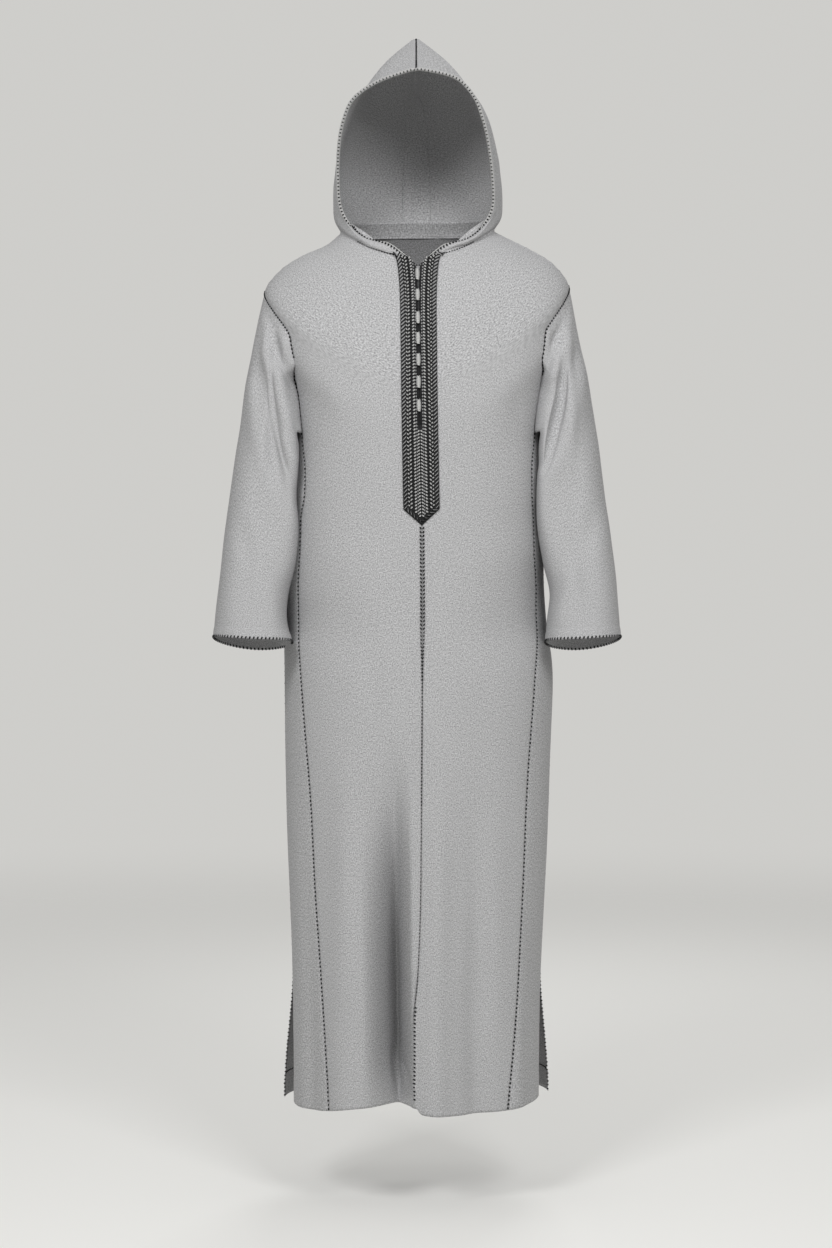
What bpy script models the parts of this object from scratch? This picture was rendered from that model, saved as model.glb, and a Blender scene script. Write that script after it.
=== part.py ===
"""A long hooded thobe, worn: hollow cloth panels, sleeves and hood, with a braided front fastening.

The origin is at the base of the neck, level with the tops of the shoulders. -Y is the front of the
garment, +X is its left side as worn (the viewer's right), and +Z is up. Tables are in millimetres.
"""

import math

import bmesh
import bpy
import numpy as np

MM = 0.001
CLOTH = 1.6 * MM
SEAM_GAP = 0.36
NECK_GAP = 1.0
HOOD_GAP = 0.8
SLIT_TOP_Z = -1180.0
NECK_DIP = 0.3
HEM_LIFT = 0.09
CORNER = 0.13

# Rings round the body, from the neckline down. Widths are half-widths; each ring has its own
# height at the two sides, at the front and at the back.
# left, right, side_y, front_y, back_y, left_z, right_z, front_z, back_z, squareness
BODY = np.array(
    [
        [118, 122, 0, -99, 84, 14, 18, -36, 24, 2.2],
        [142, 144, 2, -113, 98, -5, 7, -82, -6, 2.2],
        [180, 182, 4, -129, 116, -21, -12, -130, -56, 2.2],
        [214, 216, 5, -139, 129, -43, -33, -176, -110, 2.2],
        [238, 241, 6, -145, 136, -74, -66, -214, -160, 2.2],
        [234, 238, 6, -148, 140, -106, -100, -248, -204, 2.2],
        [222, 228, 6, -150, 143, -148, -144, -284, -250, 2.3],
        [197, 205, 6, -151, 144, -214, -212, -322, -300, 2.4],
        [182, 189, 6, -151, 144, -290, -290, -362, -350, 2.4],
        [179, 186.5, 8, -151, 144, -345, -345, -400, -392, 2.4],
        [187, 184, 12, -151, 143, -390, -390, -435, -430, 2.4],
        [196, 184, 16, -151, 142, -430, -430, -468, -464, 2.4],
        [197, 187.5, 20, -152, 142, -480, -480, -508, -506, 2.4],
        [210, 201, 34, -153, 143, -540, -540, -560, -558, 2.25],
        [210, 208, 40, -154, 145, -605, -605, -620, -618, 2.15],
        [208, 216, 20, -155, 147, -690, -690, -700, -698, 2.4],
        [205, 210, 12, -159, 156, -870, -870, -872, -870, 2.3],
        [200, 203, 8, -163, 166, -1020, -1020, -1020, -1020, 2.3],
        [196, 197, 6, -167, 176, -1140, -1140, -1140, -1140, 2.3],
        [194, 195, 5, -169, 181, -1215, -1215, -1215, -1215, 2.3],
        [192, 193, 5, -172, 190, -1353, -1343, -1350, -1340, 2.3],
    ]
)

# Where the seams cross each ring: the centre seam and the two seams beside the front panels as
# distances from the middle, the armhole's back edge and the side seams as angles from the front.
# centre_x, seam_left_x, seam_right_x, side_left, side_right
SEAMS = np.array(
    [
        [3.0, 118, 122, 90, 90],
        [3.3, 142, 144, 90, 90],
        [3.8, 180, 182, 90, 90],
        [4.3, 214, 216, 90, 90],
        [4.8, 238, 241, 90, 90],
        [5.2, 196, 201, 122, 122],
        [5.8, 190, 196, 124, 124],
        [6.6, 186, 193.5, 114, 114],
        [7.4, 178, 185, 99, 99],
        [8.1, 172, 180, 96, 96],
        [8.8, 173, 180, 95, 95],
        [9.2, 179, 182, 94, 94],
        [9.5, 180, 183, 94, 94],
        [9.6, 183, 187, 94, 94],
        [9.7, 183, 188, 94, 94],
        [9.8, 178, 183, 94, 94],
        [8.6, 163, 170, 94, 94],
        [7.0, 155, 162, 94, 94],
        [2.5, 146, 155, 94, 94],
        [-3.6, 140, 150, 94, 94],
        [-3.6, 129, 139, 94, 94],
    ]
)

# Soft folds of the body, each a ridge (+) or a trough (-) that grows from its top to its foot.
# top_angle, foot_angle, top_z, foot_z, top_width, foot_width, depth, lean
BODY_FOLDS = (
    (-12.5, -10.0, -600, -1350, 5.5, 6.6, -64.0, 0.32),
    (9.5, 8.0, -600, -1350, 5.0, 6.5, 13.0, 0.0),
    (23.0, 29.0, -560, -1350, 6.5, 7.0, -13.0, 0.0),
    (-29.0, -33.0, -560, -1350, 8.0, 9.0, 11.0, 0.0),
    (48.0, 50.0, -700, -1350, 6.0, 7.0, 6.0, 0.0),
    (-54.0, -54.0, -760, -1350, 6.0, 6.0, -6.0, 0.0),
    (-150.0, -148.0, -420, -1345, 8.0, 8.0, 14.0, 0.0),
    (-172.0, -168.0, -560, -1345, 6.0, 8.0, -14.0, 0.1),
    (168.0, 166.0, -300, -1345, 7.0, 9.0, 15.0, -0.1),
    (146.0, 142.0, -500, -1345, 6.0, 8.0, -13.0, 0.0),
    (122.0, 120.0, -620, -1345, 6.0, 7.0, 10.0, 0.1),
    (-124.0, -122.0, -700, -1345, 6.0, 7.0, -9.0, 0.0),
)

# Sections of a sleeve from the armhole down to the cuff.
# outer_left, outer_right, outer_z, inner_left, inner_right, inner_z, front_y, front_z, back_y, back_z
SLEEVE = np.array(
    [
        [238, 241, -78, 186, 192, -290, -88, -168, 90, -172],
        [247, 250, -116, 186, 193, -303, -92, -204, 90, -204],
        [258, 261, -172, 182.5, 190, -332, -95, -252, 88, -250],
        [269, 273, -232, 184, 188.5, -364, -97, -300, 84, -300],
        [279, 284, -302, 191.5, 187, -402, -99, -356, 78, -356],
        [291, 295, -384, 197.5, 187, -452, -103, -420, 68, -424],
        [300, 304, -458, 199, 196, -506, -110, -482, 57, -488],
        [306, 312, -522, 207, 210, -552, -120, -536, 46, -544],
        [312, 316, -578, 208, 207, -594, -132, -584, 36, -598],
        [316, 319, -624, 197.5, 202, -630, -142, -624, 24, -643],
    ]
)
# How far forward of its middle a sleeve's inner side lies, for the same rows.
SLEEVE_FORWARD = np.array([[0], [44], [64], [66], [62], [52], [38], [28], [20], [14]])

# Folds of a sleeve: round is 0 at the outer side, 0.25 at the front, 0.5 at the body.
# top_round, foot_round, top_row, foot_row, width, depth
SLEEVE_FOLDS = (
    (0.14, 0.40, 0.5, 3.6, 0.045, -7.0),
    (0.10, 0.30, 1.2, 6.4, 0.045, -6.0),
    (0.20, 0.36, 3.5, 8.0, 0.05, 5.0),
    (0.86, 0.70, 1.0, 6.0, 0.05, -7.0),
    (0.78, 0.66, 4.0, 8.6, 0.05, 5.0),
)

# Rows of the hood from the neckline up to the seam over the top. Each row runs from the stitched
# face edge round the side to the seam at the back.
# left face edge x, y, z; right face edge x, y, z
FACE_EDGE = np.array(
    [
        [-13, -97, -36, 18, -97, -36],
        [-38, -91, -17, 42, -91, -17],
        [-75, -74, -5, 76, -74, -6],
        [-104, -55, 20, 104, -55, 17],
        [-119, -50, 50, 120, -50, 48],
        [-122, -58, 92, 120, -60, 88],
        [-120, -76, 138, 113, -77, 136],
        [-113, -90, 177, 104, -90, 178],
        [-97, -99, 207, 88, -98, 210],
        [-62, -107, 229, 62, -106, 233],
        [-12, -112, 248, 12, -112, 249],
        [0, -112.5, 251, 0, -112.5, 251],
    ]
)

# quarter x, y, z; side x, y, z; crown x, y, z; rear x, y, z; back y, z
HOOD = np.array(
    [
        [72, -83, -22, 118, -2, 14, 96, 44, 24, 52, 74, 26, 84, 24],
        [86, -78, -8, 130, 2, 36, 112, 56, 42, 64, 98, 44, 112, 42],
        [106, -60, 16, 133, 8, 62, 118, 66, 68, 68, 118, 72, 136, 72],
        [121, -38, 46, 133, 16, 90, 118, 76, 100, 68, 130, 104, 150, 104],
        [127, -24, 80, 130, 22, 116, 115, 80, 128, 66, 134, 134, 157, 134],
        [126, -28, 112, 126, 24, 142, 109, 80, 154, 62, 132, 160, 158, 160],
        [119, -38, 152, 116, 22, 172, 99, 78, 182, 57, 125, 186, 154, 184],
        [108, -46, 190, 101, 20, 207, 86, 76, 213, 50, 117, 212, 148, 206],
        [89, -53, 223, 82, 20, 246, 72, 74, 249, 43, 111, 238, 142, 224],
        [56, -58, 252, 52, 20, 286, 48, 67, 293, 29, 107, 264, 135, 243],
        [12, -61, 270, 10, 16, 311.5, 9, 62.5, 329, 8, 105.4, 286.4, 132, 254],
        [0, -61, 272, 0, 16, 314, 0, 63, 332, 0, 106, 287, 131.6, 255],
    ]
)

# Steps between the body's rows: above the underarm, which the armhole shares, and below it.
UPPER_STEPS = [3, 1, 1, 1, 3, 2, 2, 2]
LOWER_STEPS = [1, 1, 1, 1, 1, 1, 2, 3, 3, 2, 2, 3]

# Distance from the centre line of the hood's two sides, as a share of the table's.
HOOD_SPREAD = (0.985, 1.03)

# The braid bands beside the buttons: distance from the centre seam and height over the cloth.
BAND_COLUMNS = (
    (0.2, 2.0),
    (3.4, 2.0),
    (4.6, 2.9),
    (9.0, 2.4),
    (13.0, 3.0),
    (18.5, 2.7),
    (23.5, 3.8),
    (27.6, 2.3),
)
BAND_TOP_Z = -37.0
BAND_CORNER_Z = -428.0
BAND_POINT_Z = -452.0
BAND_FLARE = 13.0
CENTRE_BRAID_END_Z = -696.0

# Middle height of each knot and of the loop below it.
BUTTONS = (
    (-62, -79.5),
    (-95, -112),
    (-131, -148),
    (-163, -180),
    (-196, -214),
    (-230, -248),
    (-266, -289),
)
BUTTON_BED = 2.5
KNOT_SIZE = (3.9, 3.1, 8.2)
LOOP_SIZE = (2.0, 7.4)
LOOP_CORD = 1.25

GREY_CLOTH = ("grey_crepe", (0.33, 0.33, 0.345), 0.9)
DARK_BRAID = ("charcoal_braid", (0.035, 0.036, 0.04), 0.65)
LIGHT_CORD = ("light_grey_cord", (0.5, 0.5, 0.5), 0.7)


def ease(value):
    """0 up to 0, 1 from 1 on, and a soft S between."""
    value = np.clip(value, 0.0, 1.0)
    return value * value * (3.0 - 2.0 * value)


def between(table, row, steady=False):
    """The columns of a table at a row number that may fall between its rows, as smooth curves.

    A steady curve never swings past its rows, which keeps two seams that meet together.
    """
    table = np.asarray(table, float)
    row = np.clip(np.asarray(row, float), 0.0, len(table) - 1.0)
    low = np.minimum(row.astype(int), len(table) - 2)
    part = (row - low)[..., None]
    steps = np.diff(table, axis=0)
    before = np.concatenate([steps[:1], steps])
    after = np.concatenate([steps, steps[-1:]])
    slopes = (before + after) / 2.0
    if steady:
        same = before * after > 0.0
        total = np.where(same, before + after, 1.0)
        slopes = np.where(same, 2.0 * before * after / total, 0.0)
    square, cube = part**2, part**3
    values = (2 * cube - 3 * square + 1) * table[low] + (3 * square - 2 * cube) * table[low + 1]
    values = values + (cube - 2 * square + part) * slopes[low] + (cube - square) * slopes[low + 1]
    return np.moveaxis(values, -1, 0)


def angle_at(row, x):
    """The angle from the front at which a body ring reaches x."""
    left, right, *_, squareness = between(BODY, row)
    share = np.clip(np.abs(x) / np.where(x < 0, left, right), 0.0, 1.0)
    rest = (1.0 - share**squareness) ** (1.0 / squareness)
    return np.sign(x) * np.arctan2(share, rest)


def seam_angles():
    """SEAMS with every column as an angle: centre, left and right front seams, left and right side."""
    rows = np.arange(len(SEAMS), dtype=float)
    centre = angle_at(rows, SEAMS[:, 0])
    left = angle_at(rows, -SEAMS[:, 1])
    right = angle_at(rows, SEAMS[:, 2])
    return np.stack([centre, left, right, np.radians(-SEAMS[:, 3]), np.radians(SEAMS[:, 4])], axis=1)


SEAM_ANGLES = seam_angles()


def folded(angle, z):
    """How far the folds move the body outwards."""
    degrees = np.degrees(angle)
    moved = np.zeros(np.broadcast(degrees, z).shape)
    for top_angle, foot_angle, top_z, foot_z, top_width, foot_width, depth, lean in BODY_FOLDS:
        down = np.clip((top_z - z) / (top_z - foot_z), 0.0, 1.0)
        middle = top_angle + (foot_angle - top_angle) * down
        width = top_width + (foot_width - top_width) * down
        away = (degrees - middle + 180.0) % 360.0 - 180.0
        width = width * (1.0 - lean * np.sign(away))
        moved = moved + depth * ease(down * 0.85) * np.exp(-((away / width) ** 2))
    return moved


def body(row, angle, tucked=0.0):
    """A point of the body's outer face. Angle 0 is the front, and +90 degrees the wearer's left."""
    row, angle, tucked = np.broadcast_arrays(np.asarray(row, float), angle, tucked)
    angle = (angle + math.pi) % (2.0 * math.pi) - math.pi
    # The hem rises a little on the right front, beside the open centre seam.
    lift = HEM_LIFT * np.exp(-(((np.degrees(angle) + 20.0) / 22.0) ** 2))
    row = row - lift * ease((row - 18.6) / 1.4)
    # The neckline dips in a small V at the centre seam.
    dip = np.exp(-(((120.0 * np.tan(np.clip(angle, -1.2, 1.2)) - 3.0) / 8.0) ** 2)) * (np.cos(angle) > 0)
    row = row + NECK_DIP * dip * (1.0 - ease(row / 1.4))
    left, right, side_y, front_y, back_y, left_z, right_z, front_z, back_z, squareness = between(BODY, row)
    sine, cosine = np.sin(angle), np.cos(angle)
    reach = (np.abs(sine) ** squareness + np.abs(cosine) ** squareness) ** (-1.0 / squareness)
    x = np.where(sine < 0, left, right) * sine * reach
    y = side_y - np.where(cosine > 0, side_y - front_y, back_y - side_y) * cosine * reach
    side_z = np.where(sine < 0, left_z, right_z)
    z = side_z + (np.where(cosine > 0, front_z, back_z) - side_z) * cosine**2
    out = folded(angle, z) - tucked
    # The back panel stands out beyond the front at the foot of the side slits.
    behind = np.exp(-(((np.abs(np.degrees(angle)) - 96.0) / 22.0) ** 2))
    behind = behind * (np.abs(angle) > math.radians(94.0))
    out = out + 17.0 * behind * ease((-1120.0 - z) / 230.0)
    return np.stack([x + out * sine, y - out * cosine, z], axis=-1)


def frame_at(row, angle):
    """The point, and unit vectors out of the cloth, up along it and across it to the right."""
    point = body(row, angle)
    down = body(row + 0.02, angle) - body(row - 0.02, angle)
    across = body(row, angle + 0.01) - body(row, angle - 0.01)
    out = np.cross(down, across)
    out = out / np.linalg.norm(out, axis=-1, keepdims=True)
    up = -down / np.linalg.norm(down, axis=-1, keepdims=True)
    return point, out, up, np.cross(up, -out)


def row_at(z, x=3.0):
    """The body row whose front passes the height z at this x."""
    rows = np.linspace(0.0, len(BODY) - 1.0, 1400)
    heights = body(rows, angle_at(rows, np.full(rows.shape, float(x))))[:, 2]
    return np.interp(-np.asarray(z, float), -heights, rows)


def rows_through(counts):
    """Row numbers with counts[i] equal steps between table rows i and i + 1."""
    rows = [i + k / count for i, count in enumerate(counts) for k in range(count)]
    return np.array(rows + [float(len(counts))])


def material(spec):
    name, colour, roughness = spec
    found = bpy.data.materials.get(name)
    if found:
        return found
    made = bpy.data.materials.new(name)
    made.use_nodes = True
    shader = made.node_tree.nodes["Principled BSDF"]
    shader.inputs["Base Color"].default_value = (*colour, 1.0)
    shader.inputs["Roughness"].default_value = roughness
    made.diffuse_color = (*colour, 1.0)
    return made


def add_mesh(name, points, faces, spec):
    mesh = bpy.data.meshes.new(name)
    mesh.from_pydata([tuple(float(v) * MM for v in p) for p in points], [], faces)
    mesh.polygons.foreach_set("use_smooth", [True] * len(mesh.polygons))
    mesh.update()
    made = bpy.data.objects.new(name, mesh)
    made.data.materials.append(material(spec))
    THOBE.objects.link(made)
    return made


def grid_faces(rows, columns, closed=False):
    """Quads of a grid, wound so that a grid running down and leftwards faces out."""
    faces = []
    for i in range(rows - 1):
        for j in range(columns if closed else columns - 1):
            k = (j + 1) % columns
            faces.append((i * columns + j, (i + 1) * columns + j, (i + 1) * columns + k, i * columns + k))
    return faces


def cloth(name, grid, spec, thickness=CLOTH, closed=False):
    """A sheet of cloth through a grid of points, with its wall on the inner side."""
    rows, columns = grid.shape[:2]
    made = add_mesh(name, grid.reshape(-1, 3), grid_faces(rows, columns, closed), spec)
    wall = made.modifiers.new("wall", "SOLIDIFY")
    wall.thickness = thickness
    wall.offset = -1.0
    return made


def panel_grid(rows, columns, first_edge, last_edge, tucked=None, corner=False):
    """Points between two edge curves, each given as angles for the rows."""
    row = rows[:, None] + 0.0 * np.asarray(columns)[None, :]
    if corner:
        short = CORNER * (1.0 - np.clip(np.asarray(columns) / 0.1, 0.0, 1.0)) ** 2
        row = np.minimum(row, rows[-1] - short[None, :] * (1.0 + (rows[-1] - rows[:, None])))
    first, last = first_edge[:, None], last_edge[:, None]
    angle = first + (last - first) * np.asarray(columns)[None, :]
    held = 0.0 if tucked is None else tucked(row, angle)
    return body(row, angle, held)


def half_gap(rows):
    """Half the seam gap, as an angle."""
    return SEAM_GAP / 2.0 / np.maximum(between(BODY, rows)[0], 100.0) * 1.15


def under_the_other(row, angle):
    """How far the right front panel lies inside the left one where the front is open."""
    z = between(BODY, row)[7]
    over = np.degrees(angle) + 10.0
    near = ease(over / 8.0)
    return near * (5.0 * ease((-1120.0 - z) / 50.0) + 36.0 * ease((SLIT_TOP_Z - z) / 170.0))


def shares(count, edge=0.012):
    """Even steps from 0 to 1 with one narrow step at each end, so that two pieces meet squarely."""
    return np.concatenate([[0.0], np.linspace(edge, 1.0 - edge, count - 1), [1.0]])


def make_fronts():
    rows = rows_through(UPPER_STEPS + LOWER_STEPS)
    gap = half_gap(rows)
    centre, seam_left, seam_right, _, _ = between(SEAM_ANGLES, rows, steady=True)
    z = between(BODY, rows)[7]
    under = np.radians(4.4) * ease((SLIT_TOP_Z - 14.0 - z) / 60.0)
    # Names follow the wearer: the panel at the viewer's left is the right front.
    right_columns = [0, 0.035, 0.075, 0.12, 0.165, 0.215, 0.28, 0.37, 0.47, 0.58, 0.7, 0.82, 0.92, 0.985, 1]
    left_columns = [0, 0.04, 0.085, 0.14, 0.2, 0.27, 0.36, 0.46, 0.57, 0.69, 0.81, 0.91, 0.985, 1]
    right = panel_grid(rows, right_columns, centre - gap + under, seam_left + gap, under_the_other)
    left = panel_grid(rows, left_columns, centre + gap, seam_right - gap, corner=True)
    cloth("front_right", right[:, ::-1], GREY_CLOTH)
    cloth("front_left", left, GREY_CLOTH)


def make_gores():
    rows = 8.0 + rows_through(LOWER_STEPS)
    gap = half_gap(rows)
    _, seam_left, seam_right, side_left, side_right = between(SEAM_ANGLES, rows, steady=True)
    columns = shares(5, 0.04)
    cloth("gore_right", panel_grid(rows, columns, side_left + gap, seam_left - gap), GREY_CLOTH)
    cloth("gore_left", panel_grid(rows, columns, seam_right + gap, side_right - gap), GREY_CLOTH)


def make_back():
    rows = rows_through(UPPER_STEPS + LOWER_STEPS)
    gap = half_gap(rows)
    _, _, _, side_left, side_right = between(SEAM_ANGLES, rows, steady=True)
    columns = shares(20, 0.01)
    cloth("back", panel_grid(rows, columns, side_right + gap, side_left + 2.0 * math.pi - gap), GREY_CLOTH)


def armhole(side, inside=0.0):
    """Points round the armhole from the tip of the shoulder down its front edge and up its back edge.

    They sit beside the points of the panels there. Inside moves them off the edge over the opening,
    along the form of the body.
    """
    front_column = 1 if side < 0 else 2
    clear = (SEAM_GAP + inside) / 200.0
    foot_row = 8.0 - 0.009 - inside / 75.0
    down = 4.0 + rows_through(UPPER_STEPS[4:])
    down = np.clip(down, 4.012 + inside / 16.0, foot_row)
    edges = between(SEAM_ANGLES, down, steady=True)
    first, last = edges[front_column], edges[front_column + 2]
    spread = np.minimum(clear, 0.45 * side * (last - first))
    foot_angles = first[-1] + (last[-1] - first[-1]) * shares(4, 0.2)
    front = body(down[:-1], (first + side * spread)[:-1])
    foot = body(np.full(5, foot_row), foot_angles + side * clear * np.array([1, 0, 0, 0, -1]))
    rear = body(down[1:-1], (last - side * spread)[1:-1])
    return np.concatenate([front, foot, rear[::-1]])


def turns_of(loop):
    """The share of the way round a closed loop at which each of its points lies."""
    steps = np.linalg.norm(np.roll(loop, -1, axis=0) - loop, axis=1)
    return np.concatenate([[0.0], np.cumsum(steps)[:-1]]) / steps.sum()


def sleeve_section(side, row, turn):
    """A point of a plain sleeve. Turn is 0 at the outer side, 0.25 at the front, 0.5 at the body."""
    columns = between(SLEEVE, row)
    outer_l, outer_r, outer_z, inner_l, inner_r, inner_z, front_y, front_z, back_y, back_z = columns
    outer, inner = (outer_l, inner_l) if side < 0 else (outer_r, inner_r)
    sine, cosine = np.sin(2 * math.pi * turn), np.cos(2 * math.pi * turn)
    reach = (np.abs(sine) ** 2.25 + np.abs(cosine) ** 2.25) ** (-1.0 / 2.25)
    x = (outer + inner) / 2.0 + (outer - inner) / 2.0 * cosine * reach
    y = (front_y + back_y) / 2.0 + (front_y - back_y) / 2.0 * sine * reach
    y = y - between(SLEEVE_FORWARD, row)[0] * np.clip(-cosine, 0.0, 1.0) ** 2
    middle = (outer_z + inner_z) / 2.0
    z = middle + (outer_z - inner_z) / 2.0 * cosine + (front_z - back_z) / 2.0 * sine
    z = z + ((front_z + back_z) / 2.0 - middle) * sine**2
    pushed = np.zeros(np.broadcast(row, turn).shape)
    for top_turn, foot_turn, top_row, foot_row, width, depth in SLEEVE_FOLDS:
        down = (row - top_row) / (foot_row - top_row)
        at = top_turn + (foot_turn - top_turn) * np.clip(down, 0.0, 1.0)
        away = (turn - at + 0.5) % 1.0 - 0.5
        lasting = ease(down * 4.0 + 0.5) * ease((1.0 - down) * 3.0 + 0.5)
        pushed = pushed + depth * lasting * np.exp(-((away / width) ** 2))
    x = x + pushed * cosine
    y = y - pushed * sine
    return np.stack([side * x, y, z], axis=-1)


def make_sleeve(name, side):
    rows = rows_through([2, 2, 2, 2, 2, 2, 2, 2, 1])
    head = armhole(side)
    even = np.arange(len(head)) / len(head)
    turn = turns_of(head)[None, :] + (even - turns_of(head))[None, :] * ease(rows / 4.0)[:, None]
    grid = sleeve_section(side, rows[:, None], turn)
    fade = 1.0 - ease(rows / 1.7)
    grid = grid + (head - grid[0])[None] * fade[:, None, None]
    # The first few millimetres carry on the form of the body.
    grid = np.concatenate([grid[:1], armhole(side, 3.0)[None], grid[1:]])
    cloth(name, grid if side > 0 else grid[:, ::-1], GREY_CLOTH, closed=True)


def hood_grid(side, rows, columns):
    """Points of half the hood, from the seam over the top down to the neckline."""
    shared = np.asarray(HOOD, float)
    edge = FACE_EDGE[:, :3] if side < 0 else FACE_EDGE[:, 3:]
    back = np.stack([np.zeros(len(shared)), shared[:, 12], shared[:, 13]], axis=1)
    spread = HOOD_SPREAD[0 if side < 0 else 1] * side
    guides = [edge] + [shared[:, 3 * i : 3 * i + 3] * (spread, 1.0, 1.0) for i in range(4)] + [back]
    # A mirrored guide past the last one brings the rows square to the seam at the back.
    guides.append(guides[-2] * (-1.0, 1.0, 1.0))
    lines = np.stack(guides, axis=1)
    # A mirrored row past the last one brings the cloth level over the top seam.
    lines = np.concatenate([lines, lines[-2:-1] * (-1.0, 1.0, 1.0)])
    along = np.moveaxis(between(lines.reshape(len(lines), -1), rows), 0, -1)
    along = along.reshape(len(rows), 7, 3)
    across = np.stack([np.moveaxis(between(line, columns * 5.0), 0, -1) for line in along])
    first = angle_at(np.zeros(1), np.array([-13.0 if side < 0 else 18.0]))[0]
    turn = first + (side * math.pi - first) * neck_share(side, columns)
    neck = body(np.zeros(len(columns)), turn) + (0.0, 0.0, NECK_GAP)
    fade = 1.0 - ease(rows / 2.2)
    across = across + (neck - across[0])[None] * fade[:, None, None]
    # Only the edges reach the seam, so that no face lies flat against its plane.
    inner = (rows < rows[-1])[:, None] & (columns < 1.0)[None, :]
    across[..., 0] = side * np.maximum(side * across[..., 0], HOOD_GAP / 2.0 + 1.4 * inner)
    return across


def neck_share(side, columns):
    """How far round the neckline each column of the hood starts, as a share of the turn."""
    marks = np.array([0.0, 0.21, 0.49, 0.66, 0.83, 1.0])
    return np.interp(columns * 5.0, np.arange(6.0), marks)


def make_hood():
    rows = np.array([0, 0.5, 1, 1.5, 2, 2.6, 3.2, 4, 4.8, 5.6, 6.4, 7.2, 8, 8.6, 9.1, 9.5, 10, 10.7, 11.0])
    columns = np.append(np.linspace(0.0, 0.982, 16), 1.0)
    right = hood_grid(-1.0, rows, columns)
    left = hood_grid(1.0, rows, columns)
    cloth("hood_right", right[::-1, ::-1], GREY_CLOTH)
    cloth("hood_left", left[::-1], GREY_CLOTH)


def band_grid(side, columns, rows):
    """Points over one braid band beside the buttons, from its flared top to its point."""
    distance = np.array([c[0] for c in columns])
    height = np.array([c[1] for c in columns])
    share = (distance - distance[0]) / (distance[-1] - distance[0])
    down = np.linspace(0.0, 1.0, rows) ** 1.12
    top = BAND_TOP_Z - 15.0 * (1.0 - ease(distance / 12.0))
    foot = BAND_POINT_Z + (BAND_CORNER_Z - BAND_POINT_Z) * share
    z = top[None, :] + (foot - top)[None, :] * down[:, None]
    flare = BAND_FLARE * np.exp(-((BAND_TOP_Z - z) / 22.0)) * share[None, :] ** 2
    return over_centre(z, side * (distance[None, :] + flare), height[None, :])


def make_placket():
    for name, side in (("placket_right", -1.0), ("placket_left", 1.0)):
        grid = band_grid(side, BAND_COLUMNS, 27)
        cloth(name, grid if side > 0 else grid[:, ::-1], DARK_BRAID, thickness=1.5 * MM)


def over_centre(z, sideways, height):
    """Points at these heights beside the centre seam, moved out from the cloth."""
    row = row_at(z)
    centre_x = np.tan(between(SEAM_ANGLES, row, steady=True)[0]) * between(BODY, row)[0]
    point, out, _, _ = frame_at(row, angle_at(row, centre_x + sideways))
    return point + out * np.asarray(height)[..., None]


def make_centre_braid():
    z = np.linspace(BAND_POINT_Z - 0.8, CENTRE_BRAID_END_Z, 14)[:, None]
    narrow = 1.0 - 0.75 * ease((-618.0 - z) / 70.0)
    columns = np.array([-4.0, 0.0, 4.0])[None, :] * narrow
    grid = over_centre(z + columns * 0.0, columns, np.array([1.7, 2.1, 1.7])[None, :])
    cloth("centre_braid", grid, DARK_BRAID, thickness=1.2 * MM)


def button_frame(z, sideways, height):
    """The middle of a small piece over the centre seam, and its axes: across, out and up."""
    row = row_at(np.array([z]))
    centre_x = np.tan(between(SEAM_ANGLES, row, steady=True)[0]) * between(BODY, row)[0]
    point, out, up, across = frame_at(row, angle_at(row, centre_x + sideways))
    return point[0] + height * out[0], across[0], out[0], up[0]


def make_knot(name, middle_z):
    """An oval knotted button, a little narrower round its middle."""
    wide, deep, tall = KNOT_SIZE
    centre, across, out, up = button_frame(middle_z, -1.0, BUTTON_BED + deep)
    levels = np.radians([50.0, 22.0, 0.0, -22.0, -50.0])
    points = [centre + tall * up]
    for level in levels:
        ring = math.cos(level) * (1.0 - 0.12 * math.cos(level) ** 8)
        for k in range(8):
            turn = 2.0 * math.pi * k / 8
            flat = wide * math.cos(turn) * across + deep * math.sin(turn) * out
            points.append(centre + ring * flat + tall * math.sin(level) * up)
    points.append(centre - tall * up)
    faces = [(0, 1 + k, 1 + (k + 1) % 8) for k in range(8)]
    for i in range(len(levels) - 1):
        for k in range(8):
            a, b = 1 + 8 * i + k, 1 + 8 * i + (k + 1) % 8
            faces.append((a, a + 8, b + 8, b))
    last = len(points) - 1
    faces += [(last, last - 8 + (k + 1) % 8, last - 8 + k) for k in range(8)]
    add_mesh(name, points, faces, LIGHT_CORD)


def make_loop(name, middle_z, points_round=12, sides=5):
    """A long narrow loop of dark cord, lying between two knots."""
    wide, tall = LOOP_SIZE
    centre, across, out, up = button_frame(middle_z, -0.6, BUTTON_BED + LOOP_CORD)
    points = []
    for k in range(points_round):
        turn = 2.0 * math.pi * k / points_round
        rise = math.copysign(abs(math.sin(turn)) ** 0.7, math.sin(turn))
        middle = centre + wide * math.cos(turn) * across + tall * rise * up
        away = math.cos(turn) * across + math.sin(turn) * up
        for side in range(sides):
            bend = 2.0 * math.pi * side / sides
            points.append(middle + LOOP_CORD * (math.cos(bend) * away + math.sin(bend) * out))
    faces = []
    for k in range(points_round):
        for side in range(sides):
            n, m = (k + 1) % points_round, (side + 1) % sides
            faces.append((k * sides + side, n * sides + side, n * sides + m, k * sides + m))
    add_mesh(name, points, faces, DARK_BRAID)


def face_outwards():
    """Turns the faces of each closed small piece outwards."""
    for made in THOBE.objects:
        if made.modifiers:
            continue
        work = bmesh.new()
        work.from_mesh(made.data)
        bmesh.ops.recalc_face_normals(work, faces=work.faces[:])
        work.to_mesh(made.data)
        work.free()


for leftover in list(bpy.data.objects):
    bpy.data.objects.remove(leftover, do_unlink=True)
THOBE = bpy.data.collections.new("hooded_thobe")
bpy.context.scene.collection.children.link(THOBE)

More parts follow.
